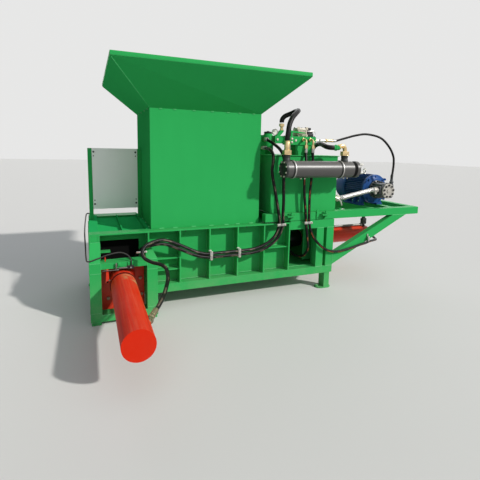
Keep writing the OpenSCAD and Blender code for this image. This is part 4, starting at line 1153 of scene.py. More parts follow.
# The oil cooler: shell with two clamped flanges, end caps, bolts, ports and water nozzles
cooler = {
    "end": (1785, -150, 1355), "length": 884, "radius": 87, "rings": (84, 648), "capBolts": 8,
    "bolt": (15, 7, 2), "bandAt": 75, "clampBolts": (185, 230, 700, 745), "clampDrop": (34, 86),
    "nozzles": (-36, 50), "ports": (1822, 2509), "portZ": 1498, "portNuts": ((76, 42, 4), (78, 40, 5)),
    "neckNut": (50, 16), "unionBack": 144, "unionUp": 80, "unionNut": (54, 24),
}


def alongCooler(c, name, profile, at=0.0, up=0.0, direction=rightward, steps=72):
    x, y, z = c["end"]
    return turned(name, profile, place=(x + at, y, z + up), direction=direction, steps=steps)


def makeCoolerShell(c):
    r, n = c["radius"], c["length"]
    shell = alongCooler(c, "coolerShell", [(0, 24), (r - 2, 24), (r - 2, n - 78), (r - 9, n - 76),
                                           (r - 9, n - 40), (0, n - 40)])
    right = alongCooler(c, "flangeRight", [(0, 0), (r - 4, 0), (r, 4), (r, 36), (r - 3, 40), (0, 40)], at=n,
                        direction=leftward)
    return joined("coolerShell", [shell, right])


def makeCoolerRings(c):
    r = c["radius"]
    profile = [(r - 3, 9), (r + 6, 10), (r + 7, 12), (r + 7, 20), (r + 6, 22), (r - 3, 23)]
    return joined("coolerRings", [alongCooler(c, "ring", profile, at=at) for at in c["rings"]])


def makeCoolerGaskets(c):
    # Beside each bright ring lies a dark gasket
    r = c["radius"]
    profile = [(r - 3, 0), (r + 3, 0), (r + 3, 10), (r - 3, 10)]
    return joined("coolerGaskets", [alongCooler(c, "gasket", profile, at=at) for at in c["rings"]])


def makeCapBand(c):
    # The groove by the right flange is near black: painted shade in the recess
    r = c["radius"]
    return alongCooler(c, "capBand",
                       [(r - 11, 0), (r - 7, 0), (r - 5, 2), (r - 5, 32), (r - 7, 34), (r - 11, 34)],
                       at=c["length"] - c["bandAt"])


def makeCoolerCaps(c):
    r = c["radius"]
    left = alongCooler(c, "capLeft", [(0, 5), (r - 38, 5), (r - 34, 0), (r - 3, 0), (r, 3), (r, 22),
                                      (r - 3, 25), (0, 25)])
    bosses = [turned("boss", [(0, 60), (38, 60), (38, 98), (35, 104), (33, 118), (36, 122), (36, 140),
                              (34, 143), (0, 143)], place=(x, *c["end"][1:]), steps=32) for x in c["ports"]]
    return joined("coolerCaps", [left] + bosses)


def coolerBolts(c):
    x, y, z = c["end"]
    r, n = c["radius"] - 13, c["length"]
    spots = boltCircle((x, y, z), r, c["capBolts"], 0.5, leftward)
    spots += boltCircle((x + n, y, z), r, c["capBolts"], 0.5, rightward)
    # The bands' clamp bolts hang below the shell
    back, drop = c["clampDrop"]
    spots += [aim((x + at, y - back, z - drop), downward) for at in c["clampBolts"]]
    return hexHeads("coolerBolts", c["bolt"], spots)


def makeNozzles(c):
    profile = [(0, 0), (16, 0), (16, 13), (11, 16), (11, 24), (15, 30), (11, 38), (15, 44), (11, 52), (15, 58),
               (11, 66), (14, 72), (12, 84), (8, 84), (8, 70), (0, 70)]
    return joined("waterNozzles", [alongCooler(c, "nozzle", profile, at=c["length"], up=up, steps=24)
                                   for up in c["nozzles"]])


def makeCoolerPorts(c):
    y, z = c["end"][1], c["portZ"]
    nuts = [hexHeads("portNut", size, [aim((x, y, z), upward)]) for x, size in zip(c["ports"], c["portNuts"])]
    sleeve = turned("sleeve", [(0, 44), (28, 44), (30, 48), (30, 58), (27, 60), (27, 70), (29, 72), (29, 118),
                               (27, 122), (27, 128), (29, 130), (28, 134), (0, 134)],
                    place=(c["ports"][0], y, z), steps=32)
    x = c["ports"][1]
    bend = [(x, y, z + 40), (x, y, z + 58), (x - 5, y, z + 78), (x - 18, y, z + 94), (x - 40, y, z + 100),
            (x - 60, y, z + 94), (x - 78, y, z + 83)]
    gooseneck = sweptTube("gooseneck", smoothPath(bend, 6), 22, sides=24)
    neckNut = hexHeads("neckNut", c["neckNut"], [aim((x - 66, y, z + 91), (-1, 0, -0.5))])
    return joined("coolerPorts", nuts + [sleeve, gooseneck, neckNut])


def makeReturnUnion(c):
    x, y, z = c["ports"][1] - c["unionBack"], c["end"][1], c["portZ"] + c["unionUp"]
    body = turned("unionBody", [(0, 0), (25, 0), (25, 20), (22, 24), (22, 46), (25, 50), (25, 66), (0, 66)],
                  place=(x, y, z), direction=rightward, steps=28)
    return joined("returnUnion", [body, hexHeads("unionNut", c["unionNut"], [aim((x + 18, y, z), rightward)])])


finish(makeCoolerShell(cooler), coolerPaint, replaces=["oil_cooler"], angle=0.5)
finish(makeCoolerRings(cooler), ferruleSteel, angle=0.5)
finish(makeCoolerGaskets(cooler), capPaint, angle=0.5)
finish(makeCoolerCaps(cooler), capPaint, angle=0.5)
finish(makeCapBand(cooler), gapPaintedShadeBlack)
finish(coolerBolts(cooler), zincBolt)
finish(makeNozzles(cooler), palePlastic, angle=0.6)
finish(makeCoolerPorts(cooler), paints["brass"], replaces=["cooler_ports"], angle=0.6)
finish(makeReturnUnion(cooler), paints["green_paint"], angle=0.5)
print("cooler is built")

# The valve bank: solenoid coil, pressure valve and its bracket, plugs, gauge, tap, inlet and filter cap
valves = {
    "manifold": (1980, 2298, 80, 240, 1688), "coil": ((2094, 120, 1688), (2210, 230, 1781)), "coilFoot": 6,
    "coilPanel": (12, -2.5), "coilRibs": 5, "coilRibPitch": 18, "screwInset": 14, "screwMiddle": 2080,
    "plugs": [(2004, 80, 1626), (2004, 80, 1662), (2050, 80, 1644), (2276, 80, 1628), (1870, 150, 1650),
              (1990, 166, 1738)],
    "plug": (19, 9), "tap": (1941, 200, 1749), "tapNut": (32, 18), "tapCap": (48, 30), "tapHeight": 42,
    "filterCap": (1900, 440, 1484),
}
pressureValve = {
    "block": ((2218, 122, 1688), (2292, 208, 1726)), "tube": (2216, 165, 1738),
    "plug": ((2226, 128, 1752), (2262, 168, 1786)), "bracket": ((2212, 116, 1742), (2296, 122, 1754)),
    "bracketBends": ((10, -4), (6, -10), (0, -16)),
}
gauge = {
    "place": (1860, 200, 1732), "stemDrop": 42, "stemHex": (17, 8), "dialFront": 7, "dialRadius": 27,
    "strokes": 11, "firstStroke": -135, "strokeStep": 27, "needleTurn": -78,
}
inlet = {
    "start": (2300, 200, 1657), "hex": (30, 20), "hexesAt": (52, 120), "sleeveAt": 198, "nutAt": 200,
    "nut": (36, 24),
}


def makeCoil(v):
    (x0, y0, z0), (x1, y1, z1) = v["coil"]
    case = addBox("coilCase", (x0, y0, z0 + v["coilFoot"]), (x1, y1, z1), edge=7, segments=3)
    for side in (frontward, backward):
        insetPanel(case, side, *v["coilPanel"])
    base = addBox("coilBase", (x0 + 8, y0 + 8, z0), (x1 - 8, y1 - 8, z0 + 10), edge=2)
    ribs = []
    for i in range(v["coilRibs"]):
        x = x0 + 16 + v["coilRibPitch"] * i
        ribs.append(addBox("coilRib", (x, y0 - 1, z0 + 22), (x + 6, y0 + 4, z1 - 14), edge=1.2))
    return joined("valveCoil", [case, base] + ribs)


def makePressureValve(p):
    body = addBox("valveBlock", *p["block"], edge=4)
    tube = turned("valveTube", [(0, 0), (20, 0), (22, 3), (22, 44), (18, 47), (18, 60), (22, 62), (22, 74),
                                (12, 78), (12, 86), (0, 86)], place=p["tube"], direction=rightward, steps=28)
    return joined("pressureValve", [body, tube, addBox("dinPlug", *p["plug"], edge=4, segments=3)])


def makeBracket(p):
    # The pale angle bracket that holds the pressure valve
    bracket = addBox("bracketFlat", *p["bracket"], edge=1.5)
    pickFacing(bracket, rightward)
    for out, down in p["bracketBends"]:
        bpy.ops.mesh.extrude_region_move(TRANSFORM_OT_translate={"value": (out / 1000, 0, down / 1000)})
    leaveEdit()
    return bracket


def valveScrews(v):
    x0, x1, y0, y1, top = v["manifold"]
    k = v["screwInset"]
    screw = turned("socketScrew", [(0, 0), (8, 0), (8, 8), (7, 9), (4, 9), (4, 4), (0, 4)], steps=18)
    spots = [aim((x, y, top), upward) for x in (x0 + k, v["screwMiddle"], x1 - k) for y in (y0 + k, y1 - k)]
    (x0, y0, _), (x1, y1, top) = v["coil"]
    spots += [aim((x, y, top), upward) for x in (x0 + k, x1 - k) for y in (y0 + k, y1 - k)]
    return stamp("valveScrews", screw, spots)


def valvePlugs(v):
    seat = turned("plugSeat", [(6, 0), (13, 0), (13, 3), (12, 4), (6, 4)], steps=24)
    plug = joined("plug", [hexHead("plugHex", *v["plug"]), seat])
    return stamp("valvePlugs", plug, [aim(place, frontward) for place in v["plugs"]])


def makeGauge(g):
    x, y, z = g["place"]
    foot = (x, y, z - g["stemDrop"])
    case = turned("gaugeCase",
                  [(0, -11), (30, -11), (31.5, -8), (31.5, 9), (31, 12), (28, 12), (27.5, 7), (0, 7)],
                  place=(x, y, z), direction=frontward, steps=40)
    stem = turned("gaugeStem", [(0, 0), (8, 0), (8, 6), (6, 7), (6, 14), (0, 14)], place=foot, steps=16)
    return joined("gaugeCase", [case, stem, hexHeads("gaugeHex", g["stemHex"], [aim(foot, upward)])])


def makeDial(g):
    x, y, z = g["place"]
    r = g["dialRadius"]
    return turned("gaugeDial", [(0, 0), (r, 0), (r, 0.6), (0, 0.6)], place=(x, y - g["dialFront"], z),
                  direction=frontward, steps=40)


def makeScale(g):
    # The scale's strokes and the needle stand a hair above the dial
    x, y, z = g["place"]
    at = Matrix.Translation(spot(x, y - g["dialFront"] - 0.2, z))
    stroke = addBox("stroke", (-0.7, -0.9, 19.5), (0.7, 0, 24.5), onMachine=False)
    turns = [g["firstStroke"] + g["strokeStep"] * i for i in range(g["strokes"])]
    strokes = stamp("strokes", stroke, [at @ Matrix.Rotation(math.radians(turn), 4, "Y") for turn in turns])
    needle = addBox("needle", (-1.0, -1.8, -7), (1.0, -0.9, 20), onMachine=False)
    needle = stamp("needles", needle, [at @ Matrix.Rotation(math.radians(g["needleTurn"]), 4, "Y")])
    return joined("gaugeScale", [strokes, needle])


def makeTap(v):
    x, y, z = v["tap"]
    body = turned("tapBody", [(0, 16), (13, 16), (15, 20), (15, 34), (20, 38), (20, 44), (0, 44)],
                  place=(x, y, z), steps=24)
    return joined("returnTap", [hexHeads("tapNut", v["tapNut"], [aim((x, y, z), upward)]), body,
                                hexHeads("tapCap", v["tapCap"], [aim((x, y, z + v["tapHeight"]), upward)])])


def makeFilterCap(v):
    return turned("filterCap",
                  [(40, 236), (44, 236), (46, 240), (46, 254), (42, 258), (16, 260), (14, 266), (0, 266)],
                  place=v["filterCap"], steps=40)


def makeInlet(n):
    # From the manifold's inlet to the pressure hose: steel pipe and two hexes
    x, y, z = n["start"]
    pipe = turned("inletPipe", [(0, 0), (9, 0), (9, 12), (11, 14), (11, 54), (9, 56), (9, 120), (12, 124),
                                (12, 198), (0, 198)], place=(x, y, z), direction=rightward, steps=20)
    return joined("inletPipe", [pipe, hexHeads("inletHex", n["hex"], [aim((x + at, y, z), rightward)
                                                                      for at in n["hexesAt"]])])


def makeInletSleeve(n):
    x, y, z = n["start"]
    sleeve = turned("inletSleeve",
                    [(0, 0), (15, 0), (16, 2), (16, 18), (14, 20), (14, 26), (16, 28), (16, 36), (14, 38),
                     (14, 44), (16, 46), (16, 60), (14, 62), (16, 64), (16, 102), (0, 102)],
                    place=(x + n["sleeveAt"], y, z), direction=rightward, steps=24)
    nut = hexHeads("inletNut", n["nut"], [aim((x + n["nutAt"], y, z), rightward)])
    return joined("inletSleeve", [sleeve, nut])


finish(makeCoil(valves), paints["valve_paint"], replaces=["valve_stack"])
finish(makePressureValve(pressureValve), blackPlastic)
finish(makeBracket(pressureValve), paints["bright_steel"])
finish(valveScrews(valves), darkBolt)
finish(valvePlugs(valves), zincBolt)
finish(makeGauge(gauge), paints["bright_steel"], replaces=["pressure_gauge"], angle=0.6)
finish(makeDial(gauge), palePlastic)
finish(makeScale(gauge), blackPlastic, angle=0)
finish(makeTap(valves), paints["brass"], angle=0.6)
finish(makeInlet(inlet), paints["bright_steel"], angle=0.5)
finish(makeInletSleeve(inlet), paints["brass"], angle=0.5)
finish(makeFilterCap(valves), blackPlastic, angle=0.6)
print("valve bank is built")

# The press frame's welds: rippled beads along straight lines in the corners
frameWelds = {
    "ribs": (498, 792, 1086, 1380, 1674, 1968), "ribWidth": 14, "front": 5, "web": 99, "back": 1079,
    "backWeb": 985, "low": 264, "high": 770, "postTop": 704, "left": 88, "right": 2318, "ledgeEnd": 1968,
    "stiffeners": ((512, 792, 390), (512, 792, 500), (1688, 1968, 514)), "stiffenerThick": 12,
    "stiffenerFront": 22, "posts": ((2318, 2410), (2448, 2540)), "postDepth": (4, 76), "backPost": 1083,
    "plainWeb": (1970, 2000), "backSeam": 560, "outletSeam": (540, 752),
}
portalWelds = {
    "posts": ((-6, 88), (472, 566)), "seams": (114, 467), "front": -118, "back": -4, "foot": 33, "top": 556,
    "between": (88, 472), "barTop": 502, "barLow": 93,
    "arms": [((88, -2, 560), (88, -2, 700)), ((10, -8, 712), (86, -8, 712)), ((480, -8, 638), (523, -8, 638))],
}


def weldBeads(name, lines, radius=4.0, step=9):
    beads = []
    for a, b in lines:
        a, b = Vector(a), Vector(b)
        count = max(3, int((b - a).length / step))
        path = [a.lerp(b, i / count) for i in range(count + 1)]
        beads.append(sweptTube("bead", path, radius, sides=7,
                               swell=lambda i: 0.92 + 0.18 * (i % 2) + 0.08 * math.sin(i * 1.7)))
    return joined(name, beads)


def frontLines(w):
    front, y, low, high = w["front"], w["web"], w["low"], w["high"]
    lines = []
    for x in w["ribs"]:
        for side in (x, x + w["ribWidth"]):
            lines += [((side, y, low), (side, y, high)), ((side, front, low), (side, y, low)),
                      ((side, front, high), (side, y, high))]
    lines += [((w["left"], y, low), (w["left"], y, high)), ((w["left"], y, low), (w["right"], y, low)),
              ((w["left"], y, high), (w["ledgeEnd"], y, high))]
    for x0, x1, z in w["stiffeners"]:
        top = z + w["stiffenerThick"]
        lines += [((x0, y, z), (x1, y, z)), ((x0, y, top), (x1, y, top))]
        lines += [((x, w["stiffenerFront"], top), (x, y, top)) for x in (x0, x1)]
    near, far = w["postDepth"]
    for x0, x1 in w["posts"]:
        lines += [((x0 + 4, 1, z), (x1 - 4, 1, z)) for z in (low, w["postTop"])]
        lines += [((x, near, low), (x, far, low)) for x in (x0, x1)]
    return lines


def backLines(w):
    back, y, low, high = w["back"], w["backWeb"], w["low"], w["high"]
    lines = []
    for x in w["ribs"][1:]:
        for side in (x, x + w["ribWidth"]):
            if not w["plainWeb"][0] <= side <= w["plainWeb"][1]:
                lines += [((side, y, low), (side, y, high)), ((side, y, low), (side, back, low))]
    for x0, x1 in w["posts"]:
        lines += [((x0 + 4, w["backPost"], z), (x1 - 4, w["backPost"], z)) for z in (low, w["postTop"])]
    x, top = w["outletSeam"]
    return lines + [((w["backSeam"], y, low), (w["right"], y, low)), ((x, y + 1, low), (x, y + 1, top))]


def portalLines(w):
    front, back = w["front"], w["back"]
    lines = []
    for x0, x1 in w["posts"]:
        for z in w["seams"]:
            lines += [((x0 + 3, front - 1, z), (x1 - 3, front - 1, z)),
                      ((x0 + 1, front + 2, z), (x0 + 1, back, z)), ((x1 - 1, front + 2, z), (x1 - 1, back, z))]
        lines += [((x0 + 6, front + 1, w["foot"]), (x1 - 6, front + 1, w["foot"])),
                  ((x0 + 6, front, w["top"]), (x1 - 6, front, w["top"]))]
    left, right = w["between"]
    lines += [((x, front, w["barTop"]), (x, front, w["top"])) for x in (left, right)]
    return lines + [((left, front, w["barLow"]), (right, front, w["barLow"]))] + w["arms"]


finish(weldBeads("frameWelds", frontLines(frameWelds)), weldWithPaintedHighlight, angle=1.0)
finish(weldBeads("backWelds", backLines(frameWelds)), weldWithPaintedHighlight, angle=1.0)
finish(weldBeads("portalWelds", portalLines(portalWelds), radius=3.4), weldWithPaintedHighlight, angle=1.0)
print("frame is welded")

# The ejector's front: flange bolts, the link and lug at the portal's bar, and the collar and seam of the barrel
ejector = {
    "flangeFace": 74, "flangeBolts": ((434, 330), (443, 174), (148, 167)), "bossRadius": 15, "bossHeight": 7,
    "bolt": (24, 12, 2), "boltSink": 6, "boltTurn": 0.3, "axis": (264, 371), "radius": 105,
    "collarBeads": ((50, 1), (74, 17)), "beadRadius": 3.6, "beadSteps": 96, "seam": -186,
    "smallBolts": ((154, -116, 402), (330, -143, 507)), "smallBolt": (11, 6, 1.5),
}
link = {
    "bar": ((129, -117, 374), (147, -103, 503)), "footWidening": 1.9, "boss": (138, -117, 389),
    "eye": (138, -122, 388),
}
lug = {"plate": ((121, -66, 556), (131, -58, 600)), "topRound": 4}
# The limit switch under the bar's front, its steel parts and the two plates that hold it
limitSwitch = {
    "body": ((302, -143, 493), (358, -120, 522)), "panel": (4, -1.5), "gland": (336, -133, 522),
    "bar": ((230, -142, 500), (303, -128, 514)), "arm": ((206, -143, 488), (217, -131, 556)),
    "foot": ((196, -141, 488), (232, -127, 500)), "rodRadius": 3.4,
    "rod": [(100, -116, 484), (112, -122, 490), (150, -130, 492), (204, -136, 493)],
    "plates": (224, 306), "plate": ((0, -128, 522), (26, -119, 556)),
}


def flangeSpots(e, sink=0.0, turn=0.0):
    return [aim((x, e["flangeFace"] - sink, z), frontward, turn * i)
            for i, (x, z) in enumerate(e["flangeBolts"])]


def makeFlangeBosses(e):
    r, h = e["bossRadius"], e["bossHeight"]
    boss = turned("boss", [(9, 0), (r, 0), (r, h - 2), (r - 2, h), (9, h)], steps=24)
    return stamp("flangeBosses", boss, flangeSpots(e))


def makeFlangeBolts(e):
    return hexHeads("flangeBolts", e["bolt"], flangeSpots(e, e["boltSink"], e["boltTurn"]))


def makeLink(k):
    # A tapered link under the portal's bar, with a wide foot
    bar = addBox("linkBar", *k["bar"])
    pickFacing(bar, downward)
    bpy.ops.transform.resize(value=(k["footWidening"], 1.0, 1.0))
    leaveEdit()
    roundEdges(bar, 4, 3)
    boss = turned("linkBoss", [(0, 0), (15, 0), (15, 3), (13, 5), (0, 5)], place=k["boss"], direction=frontward)
    return joined("clevis", [bar, boss])


def makeLinkEye(k):
    # The eye's hole is a near black disc: painted shade
    return turned("linkEye", [(0, 0), (8, 0), (8, 1.5), (0, 1.5)], place=k["eye"],
                  direction=frontward, steps=20)


def makeLug(k):
    plate = addBox("redLug", *k["plate"])
    top = k["plate"][1][2] / 1000 - 0.002
    pick(plate, "EDGE", lambda e: all(v.co.z > top for v in e.verts))
    bpy.ops.mesh.bevel(offset=k["topRound"] / 1000, segments=4, affect="EDGES")
    leaveEdit()
    roundEdges(plate, 1.2)
    return plate


def makeSwitch(s):
    body = addBox("switchBody", *s["body"], edge=4, segments=3)
    insetPanel(body, frontward, *s["panel"])
    gland = turned("gland", [(0, 0), (9, 0), (9, 4), (7.5, 5), (7.5, 8), (0, 8)], place=s["gland"], steps=20)
    return joined("switchBody", [body, gland])


def makeSwitchSteel(s):
    blocks = [addBox("switchBlock", *s[part], edge=edge)
              for part, edge in (("bar", 3), ("arm", 2), ("foot", 3))]
    rod = sweptTube("switchRod", smoothPath(s["rod"], 4), s["rodRadius"], sides=10)
    return joined("switchSteel", blocks + [rod])


def makeSwitchPlates(s):
    (x0, y0, z0), (x1, y1, z1) = s["plate"]
    return joined("switchPlates", [addBox("plate", (x + x0, y0, z0), (x + x1, y1, z1), edge=2.5)
                                   for x in s["plates"]])


def makeSmallBolts(e):
    return hexHeads("ejectorBolts", e["smallBolt"], [aim(place, frontward) for place in e["smallBolts"]])


def collarWeld(e):
    x, z = e["axis"]
    rings = []
    for y, out in e["collarBeads"]:
        r = e["radius"] + out
        turns = [math.tau * i / e["beadSteps"] for i in range(e["beadSteps"] + 1)]
        path = [(x + r * math.cos(a), y, z + r * math.sin(a)) for a in turns]
        rings.append(sweptTube("ringBead", path, e["beadRadius"], sides=7, swell=lambda i: 0.9 + 0.2 * (i % 2)))
    return joined("collarWeld", rings)


def makeSeam(e):
    # A ring round the barrel where its head is screwed on, nearly black: the joint, with painted shadow in it
    (x, z), r = e["axis"], e["radius"]
    return turned("barrelSeam", [(r - 3, -9), (r + 3, -9), (r + 6, -5), (r + 6, 6), (r + 3, 10), (r - 3, 10)],
                  place=(x, e["seam"], z), direction=backward, steps=72)


finish(makeFlangeBosses(ejector), paints["red_paint"])
finish(makeFlangeBolts(ejector), agedBolt)
finish(makeLink(link), paints["red_paint"])
finish(makeLinkEye(link), gapPaintedShadeBlack)
finish(makeLug(lug), paints["red_paint"])
finish(makeSwitch(limitSwitch), blackPlastic, replaces=["limit_switch"])
finish(makeSwitchSteel(limitSwitch), dullSteel, angle=0.6)
finish(makeSwitchPlates(limitSwitch), paints["green_paint"])
finish(makeSmallBolts(ejector), ferruleSteel)
finish(collarWeld(ejector), redWeld, angle=1.0)
finish(makeSeam(ejector), seamShadow)
print("ejector's small parts are built")

# Two shell clamps along the web and two straps at the ledge hold the hoses
clamps = {
    "blocks": ((1093, 515), (1387, 518)), "shells": ((-49, -35), (-33, -5)), "shellHalf": (13, 42),
    "plates": ((-54, -49, 43), (-5, 0, 46)), "plateHalf": 14, "boltRows": (-37, 0, 37), "bolt": (13, 6, 1.5),
    "straps": ((1796, 1897, -58, 777), (2121, 2220, -56, 780)), "strapHalf": 13, "strapThick": 4,
    "strapFolds": (0.2, 0.4, 0.5, 0.6, 0.8), "strapDip": 11, "boltInset": 9,
}


def makeClampShells(c):
    half, tall = c["shellHalf"]
    shells = [addBox("clampShell", (x - half, y0, z - tall), (x + half, y1, z + tall), edge=3)
              for x, z in c["blocks"] for y0, y1 in c["shells"]]
    return joined("clampShells", shells)


def makeStrap(c, x0, x1, y, z):
    # The strap bends back between its two hoses, and a stud holds each end
    tall, inset = c["strapHalf"], c["boltInset"]
    strap = addBox("strap", (x0, y, z - tall), (x1, y + c["strapThick"], z + tall))
    for part in c["strapFolds"]:
        editOnly(strap)
        bpy.ops.mesh.select_all(action="SELECT")
        bpy.ops.mesh.bisect(plane_co=spot(x0 + (x1 - x0) * part, 0, 0), plane_no=rightward)
    middle = spot((x0 + x1) / 2, 0, 0).x
    pick(strap, "VERT", lambda v: abs(v.co.x - middle) < 0.002)
    bpy.ops.transform.translate(value=(0, c["strapDip"] / 1000, 0))
    leaveEdit()
    roundEdges(strap, 1.2)
    studs = [turned("stud", [(0, 0), (4, 0), (4, -y + 4), (0, -y + 4)], place=(x, y - 4, z), direction=backward,
                    steps=14) for x in (x0 + inset, x1 - inset)]
    return [strap] + studs


def makeClampPlates(c):
    half = c["plateHalf"]
    parts = [addBox("clampPlate", (x - half, y0, z - tall), (x + half, y1, z + tall), edge=1.5)
             for x, z in c["blocks"] for y0, y1, tall in c["plates"]]
    for strap in c["straps"]:
        parts += makeStrap(c, *strap)
    return joined("clampPlates", parts)


def clampBolts(c):
    front, inset = c["plates"][0][0], c["boltInset"]
    spots = [aim((x, front, z + row), frontward) for x, z in c["blocks"] for row in c["boltRows"]]
    spots += [aim((x, y, z), frontward) for x0, x1, y, z in c["straps"] for x in (x0 + inset, x1 - inset)]
    return hexHeads("clampBolts", c["bolt"], spots)


finish(makeClampPlates(clamps), ferruleSteel, replaces=["hose_clamps"], angle=0.5)
finish(makeClampShells(clamps), paints["bright_steel"], angle=0.5)
finish(clampBolts(clamps), zincBolt)
print("hose clamps are on")

# The check valve on the main cylinder's tail with its thin pipe
tailValve = {
    "pipe": (2580, 3386), "pipeY": 542, "pipeZ": 574, "pipeRadius": 15, "pipeNut": (40, 24), "nutBack": 26,
    "block": (3384, 3444, 516, 568), "low": 559, "high": 695, "footHeight": 26, "capDrop": 34, "plug": (26, 12),
    "plugUp": 70,
}


def makeTailValve(t):
    x0, x1, y0, y1 = t["block"]
    low, cap, middle, plugZ = t["low"], t["high"] - t["capDrop"], (x0 + x1) / 2, t["low"] + t["plugUp"]
    body = addBox("valveBody", (x0, y0, low + t["footHeight"]), (x1, y1, cap), edge=4, segments=3)
    foot = turned("valveFoot", [(0, 0), (26, 0), (26, 8), (19, 10), (19, 28), (0, 28)],
                  place=(middle, t["pipeY"], low), steps=28)
    top = turned("valveCap", [(0, 0), (24, 0), (24, 14), (20, 16), (20, 28), (17, 34), (0, 34)],
                 place=(middle, t["pipeY"], cap), steps=28)
    plugs = hexHeads("valvePlug", t["plug"], [aim((middle, y0, plugZ), frontward),
                                              aim((middle, y1, plugZ), backward)])
    return joined("tailValve", [body, foot, top, plugs])


def makePortPipe(t):
    (x0, x1), y, z = t["pipe"], t["pipeY"], t["pipeZ"]
    pipe = sweptTube("portPipe", [(x0, y, z), (x1, y, z)], t["pipeRadius"], sides=20)
    nuts = hexHeads("pipeNuts", t["pipeNut"], [aim((x, y, z), rightward) for x in (x0, x1 - t["nutBack"])])
    return joined("portPipe", [pipe, nuts])


finish(makeTailValve(tailValve), capPaint, angle=0.5)
finish(makePortPipe(tailValve), dullSteel, replaces=["main_port_pipe"], angle=0.5)
print("tail valve is on")

# Sheet work: stitch welds and seams of the hopper, its folded rim, and the bolts of deck, tank, panel and posts
hopper = {
    "box": (540, 1646, 84, 1000), "low": 784, "seam": 1894, "rim": (195, 1991, -284, 1368), "rimLow": 2230,
    "rimHigh": 2266, "rimWall": 6, "fold": 20, "frontStitches": (640, 770, 950, 1130, 1290, 1412, 1560),
    "sideStitches": (190, 400, 620, 850), "stitchHalves": ((1890, 12), (786, 22)), "seamShare": 0.97,
}
panel = {
    "columns": (68, 480), "boltRows": (1484, 948), "screwRows": (1444, 988), "face": 700, "bolt": (15, 6, 2),
    "screw": (10, 4, 1), "boltTurn": 0.4, "ledgeBolts": (850, 1197, 1480), "ledgeBoltAt": (9, 770),
}
frameHeads = {
    "size": (28, 14, 2), "ears": (1975.6, 2403.6), "earY": -28, "earTop": 862, "earThick": 12,
    "barrelFlange": (2480, 542, 462), "barrelCircle": 128, "barrelBolts": 8, "footTop": 12,
    "feet": ((2387, 60), (2537, 60), (2387, 1024), (2537, 1024), (-5, 920), (145, 920)),
}
packWelds = {
    "crossbars": (3082, 3372, 3696), "crossbar": 76, "rails": (81, 1003), "low": 806, "high": 882,
    "braceY": (1, 1083), "braceFoot": (2541, 275, 389), "braceTop": (3382, 3588, 799),
    "tankRails": (1752, 2562), "tankSeam": (84, 826, 885),
    "others": [((2441, 60, 266), (2441, 1024, 266)), ((2300, 231, 282), (2300, 231, 700)),
               ((0, 984, 754), (540, 984, 754))],
}


def hopperStitches(h):
    x0, x1, y0, y1 = h["box"]
    lines = []
    for z, half in h["stitchHalves"]:
        for x in h["frontStitches"]:
            lines += [((x - half, y, z), (x + half, y, z)) for y in (y0 - 2, y1 + 1)]
        for y in h["sideStitches"]:
            lines += [((x, y - half, z), (x, y + half, z)) for x in (x0 - 1, x1 + 1)]
    return lines


def flareSeams(h):
    # Along the flare's four corners, and ending just short of its rim
    x0, x1, y0, y1 = h["box"]
    a, b, c, d = h["rim"]
    z, share = h["seam"] + 4, h["seamShare"]
    corners = (((x0, y0), (a, c)), ((x1, y0), (b, c)), ((x0, y1), (a, d)), ((x1, y1), (b, d)))
    return [((p[0], p[1], z), (p[0] + share * (q[0] - p[0]), p[1] + share * (q[1] - p[1]),
                               z + share * (h["rimLow"] - z))) for p, q in corners]


def ringFrame(name, low, high, wall):
    # A frame of sheet: a block with one straight hole from top to bottom, and soft edges
    piece = addBox(name, low, high)
    pick(piece, "FACE", lambda f: abs(f.normal.z) > 0.9)
    bpy.ops.mesh.inset(thickness=wall / 1000)
    bpy.ops.mesh.bridge_edge_loops()
    leaveEdit()
    settle(piece)
    roundEdges(piece, 2.5, 3)
    return piece


def makeRim(h):
    (a, b, c, d), low, high, fold = h["rim"], h["rimLow"], h["rimHigh"], h["fold"]
    return joined("hopperRim", [
        ringFrame("rimWall", (a, c, low), (b, d, high - 4), h["rimWall"]),
        ringFrame("rimFold", (a + 0.5, c + 0.5, high - fold), (b - 0.5, d - 0.5, high), fold)])


def sheetBolts(p):
    spots = [aim((x, p["face"], z), frontward, p["boltTurn"]) for x in p["columns"] for z in p["boltRows"]]
    spots += [aim((x, *p["ledgeBoltAt"]), downward) for x in p["ledgeBolts"]]
    return hexHeads("sheetBolts", p["bolt"], spots)


def panelScrews(p):
    return hexHeads("panelScrews", p["screw"], [aim((x, p["face"], z), frontward) for x in p["columns"]
                                                for z in p["screwRows"]])


def frameBolts(b):
    spots = [aim((x, b["earY"], b["earTop"]), upward) for x in b["ears"]]
    spots += [aim((x, b["earY"], b["earTop"] - b["earThick"]), downward) for x in b["ears"]]
    spots += boltCircle(b["barrelFlange"], b["barrelCircle"], b["barrelBolts"], 0.5, rightward)
    spots += [aim((x, y, b["footTop"]), upward) for x, y in b["feet"]]
    return hexHeads("frameBolts", b["size"], spots)


def packLines(w):
    lines, (low, high) = [], (w["low"], w["high"])
    for x in w["crossbars"]:
        for y in w["rails"]:
            lines += [((side, y, low), (side, y, high)) for side in (x, x + w["crossbar"])]
            lines.append(((x + 2, y, high + 1), (x + w["crossbar"] - 2, y, high + 1)))
    foot, footLow, footHigh = w["braceFoot"]
    topLeft, topRight, top = w["braceTop"]
    for y in w["braceY"]:
        lines += [((foot, y, footLow), (foot, y, footHigh)), ((topLeft, y, top), (topRight, y, top))]
    y0, y1, z = w["tankSeam"]
    return lines + [((x, y0, z), (x, y1, z)) for x in w["tankRails"]] + w["others"]


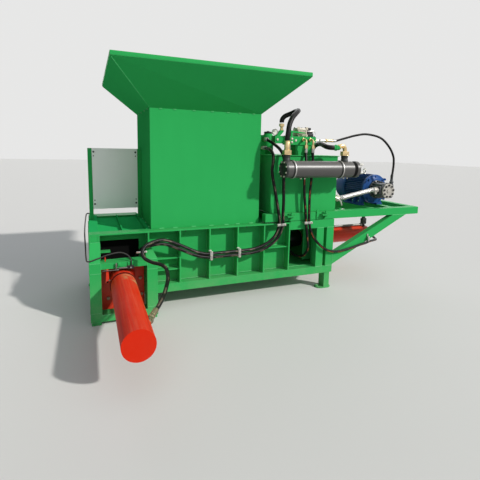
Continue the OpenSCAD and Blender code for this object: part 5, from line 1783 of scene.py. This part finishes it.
finish(weldBeads("hopperStitches", hopperStitches(hopper), radius=5.5, step=6), weldWithPaintedHighlight, angle=1.0)
finish(weldBeads("flareSeams", flareSeams(hopper), radius=3.0, step=12), weldWithPaintedHighlight, angle=1.0)
finish(weldBeads("packWelds", packLines(packWelds)), weldWithPaintedHighlight, angle=1.0)
finish(makeRim(hopper), paints["green_paint"], replaces=["hopper_rim"])
finish(sheetBolts(panel), darkBolt)
finish(panelScrews(panel), dullSteel)
finish(frameBolts(frameHeads), paints["green_paint"])
print("sheet work is done")

# The drip tray and the clips of the port pipe and of the hoses' loop
tray = {"low": (1984, 81, 250), "high": (2408, 1003, 272), "panel": (4, -16)}
pipeClip = {
    "clip": ((3006, -35, 508), (3028, -1, 566)), "ear": ((3008, -8, 560), (3026, -2, 592)), "bolt": (13, 6),
    "boltAt": (3017, -8, 580),
}
loopClip = {
    "plate": ((388, -60, 603), (482, -56, 620)), "bolt": (13, 7, 2),
    "boltsAt": ((430, -60, 611), (474, -60, 611)), "stud": (474, -58, 611),
}


def makeDripTray(t):
    # A folded tray on the base beams catches oil under the main cylinder
    sheet = addBox("dripTray", t["low"], t["high"])
    insetPanel(sheet, upward, *t["panel"])
    roundEdges(sheet, 1.2, 2)
    return sheet


def makePipeClip(c):
    return joined("pipeClip", [addBox("clip", *c["clip"], edge=5, segments=3),
                               addBox("clipEar", *c["ear"], edge=2),
                               hexHeads("clipBolt", c["bolt"], [aim(c["boltAt"], frontward)])])


def makeLoopClip(c):
    # A flat clip on the portal's arm
    stud = turned("loopStud", [(0, 0), (4, 0), (4, 22), (0, 22)], place=c["stud"], direction=backward, steps=12)
    heads = hexHeads("loopBolts", c["bolt"], [aim(place, frontward) for place in c["boltsAt"]])
    return joined("loopClip", [addBox("clipPlate", *c["plate"], edge=1.5), heads, stud])


finish(makeDripTray(tray), paints["green_paint"])
finish(makePipeClip(pipeClip), ferruleSteel)
finish(makeLoopClip(loopClip), paints["bright_steel"])
print("tray and clips are on")

takeOnly(None)
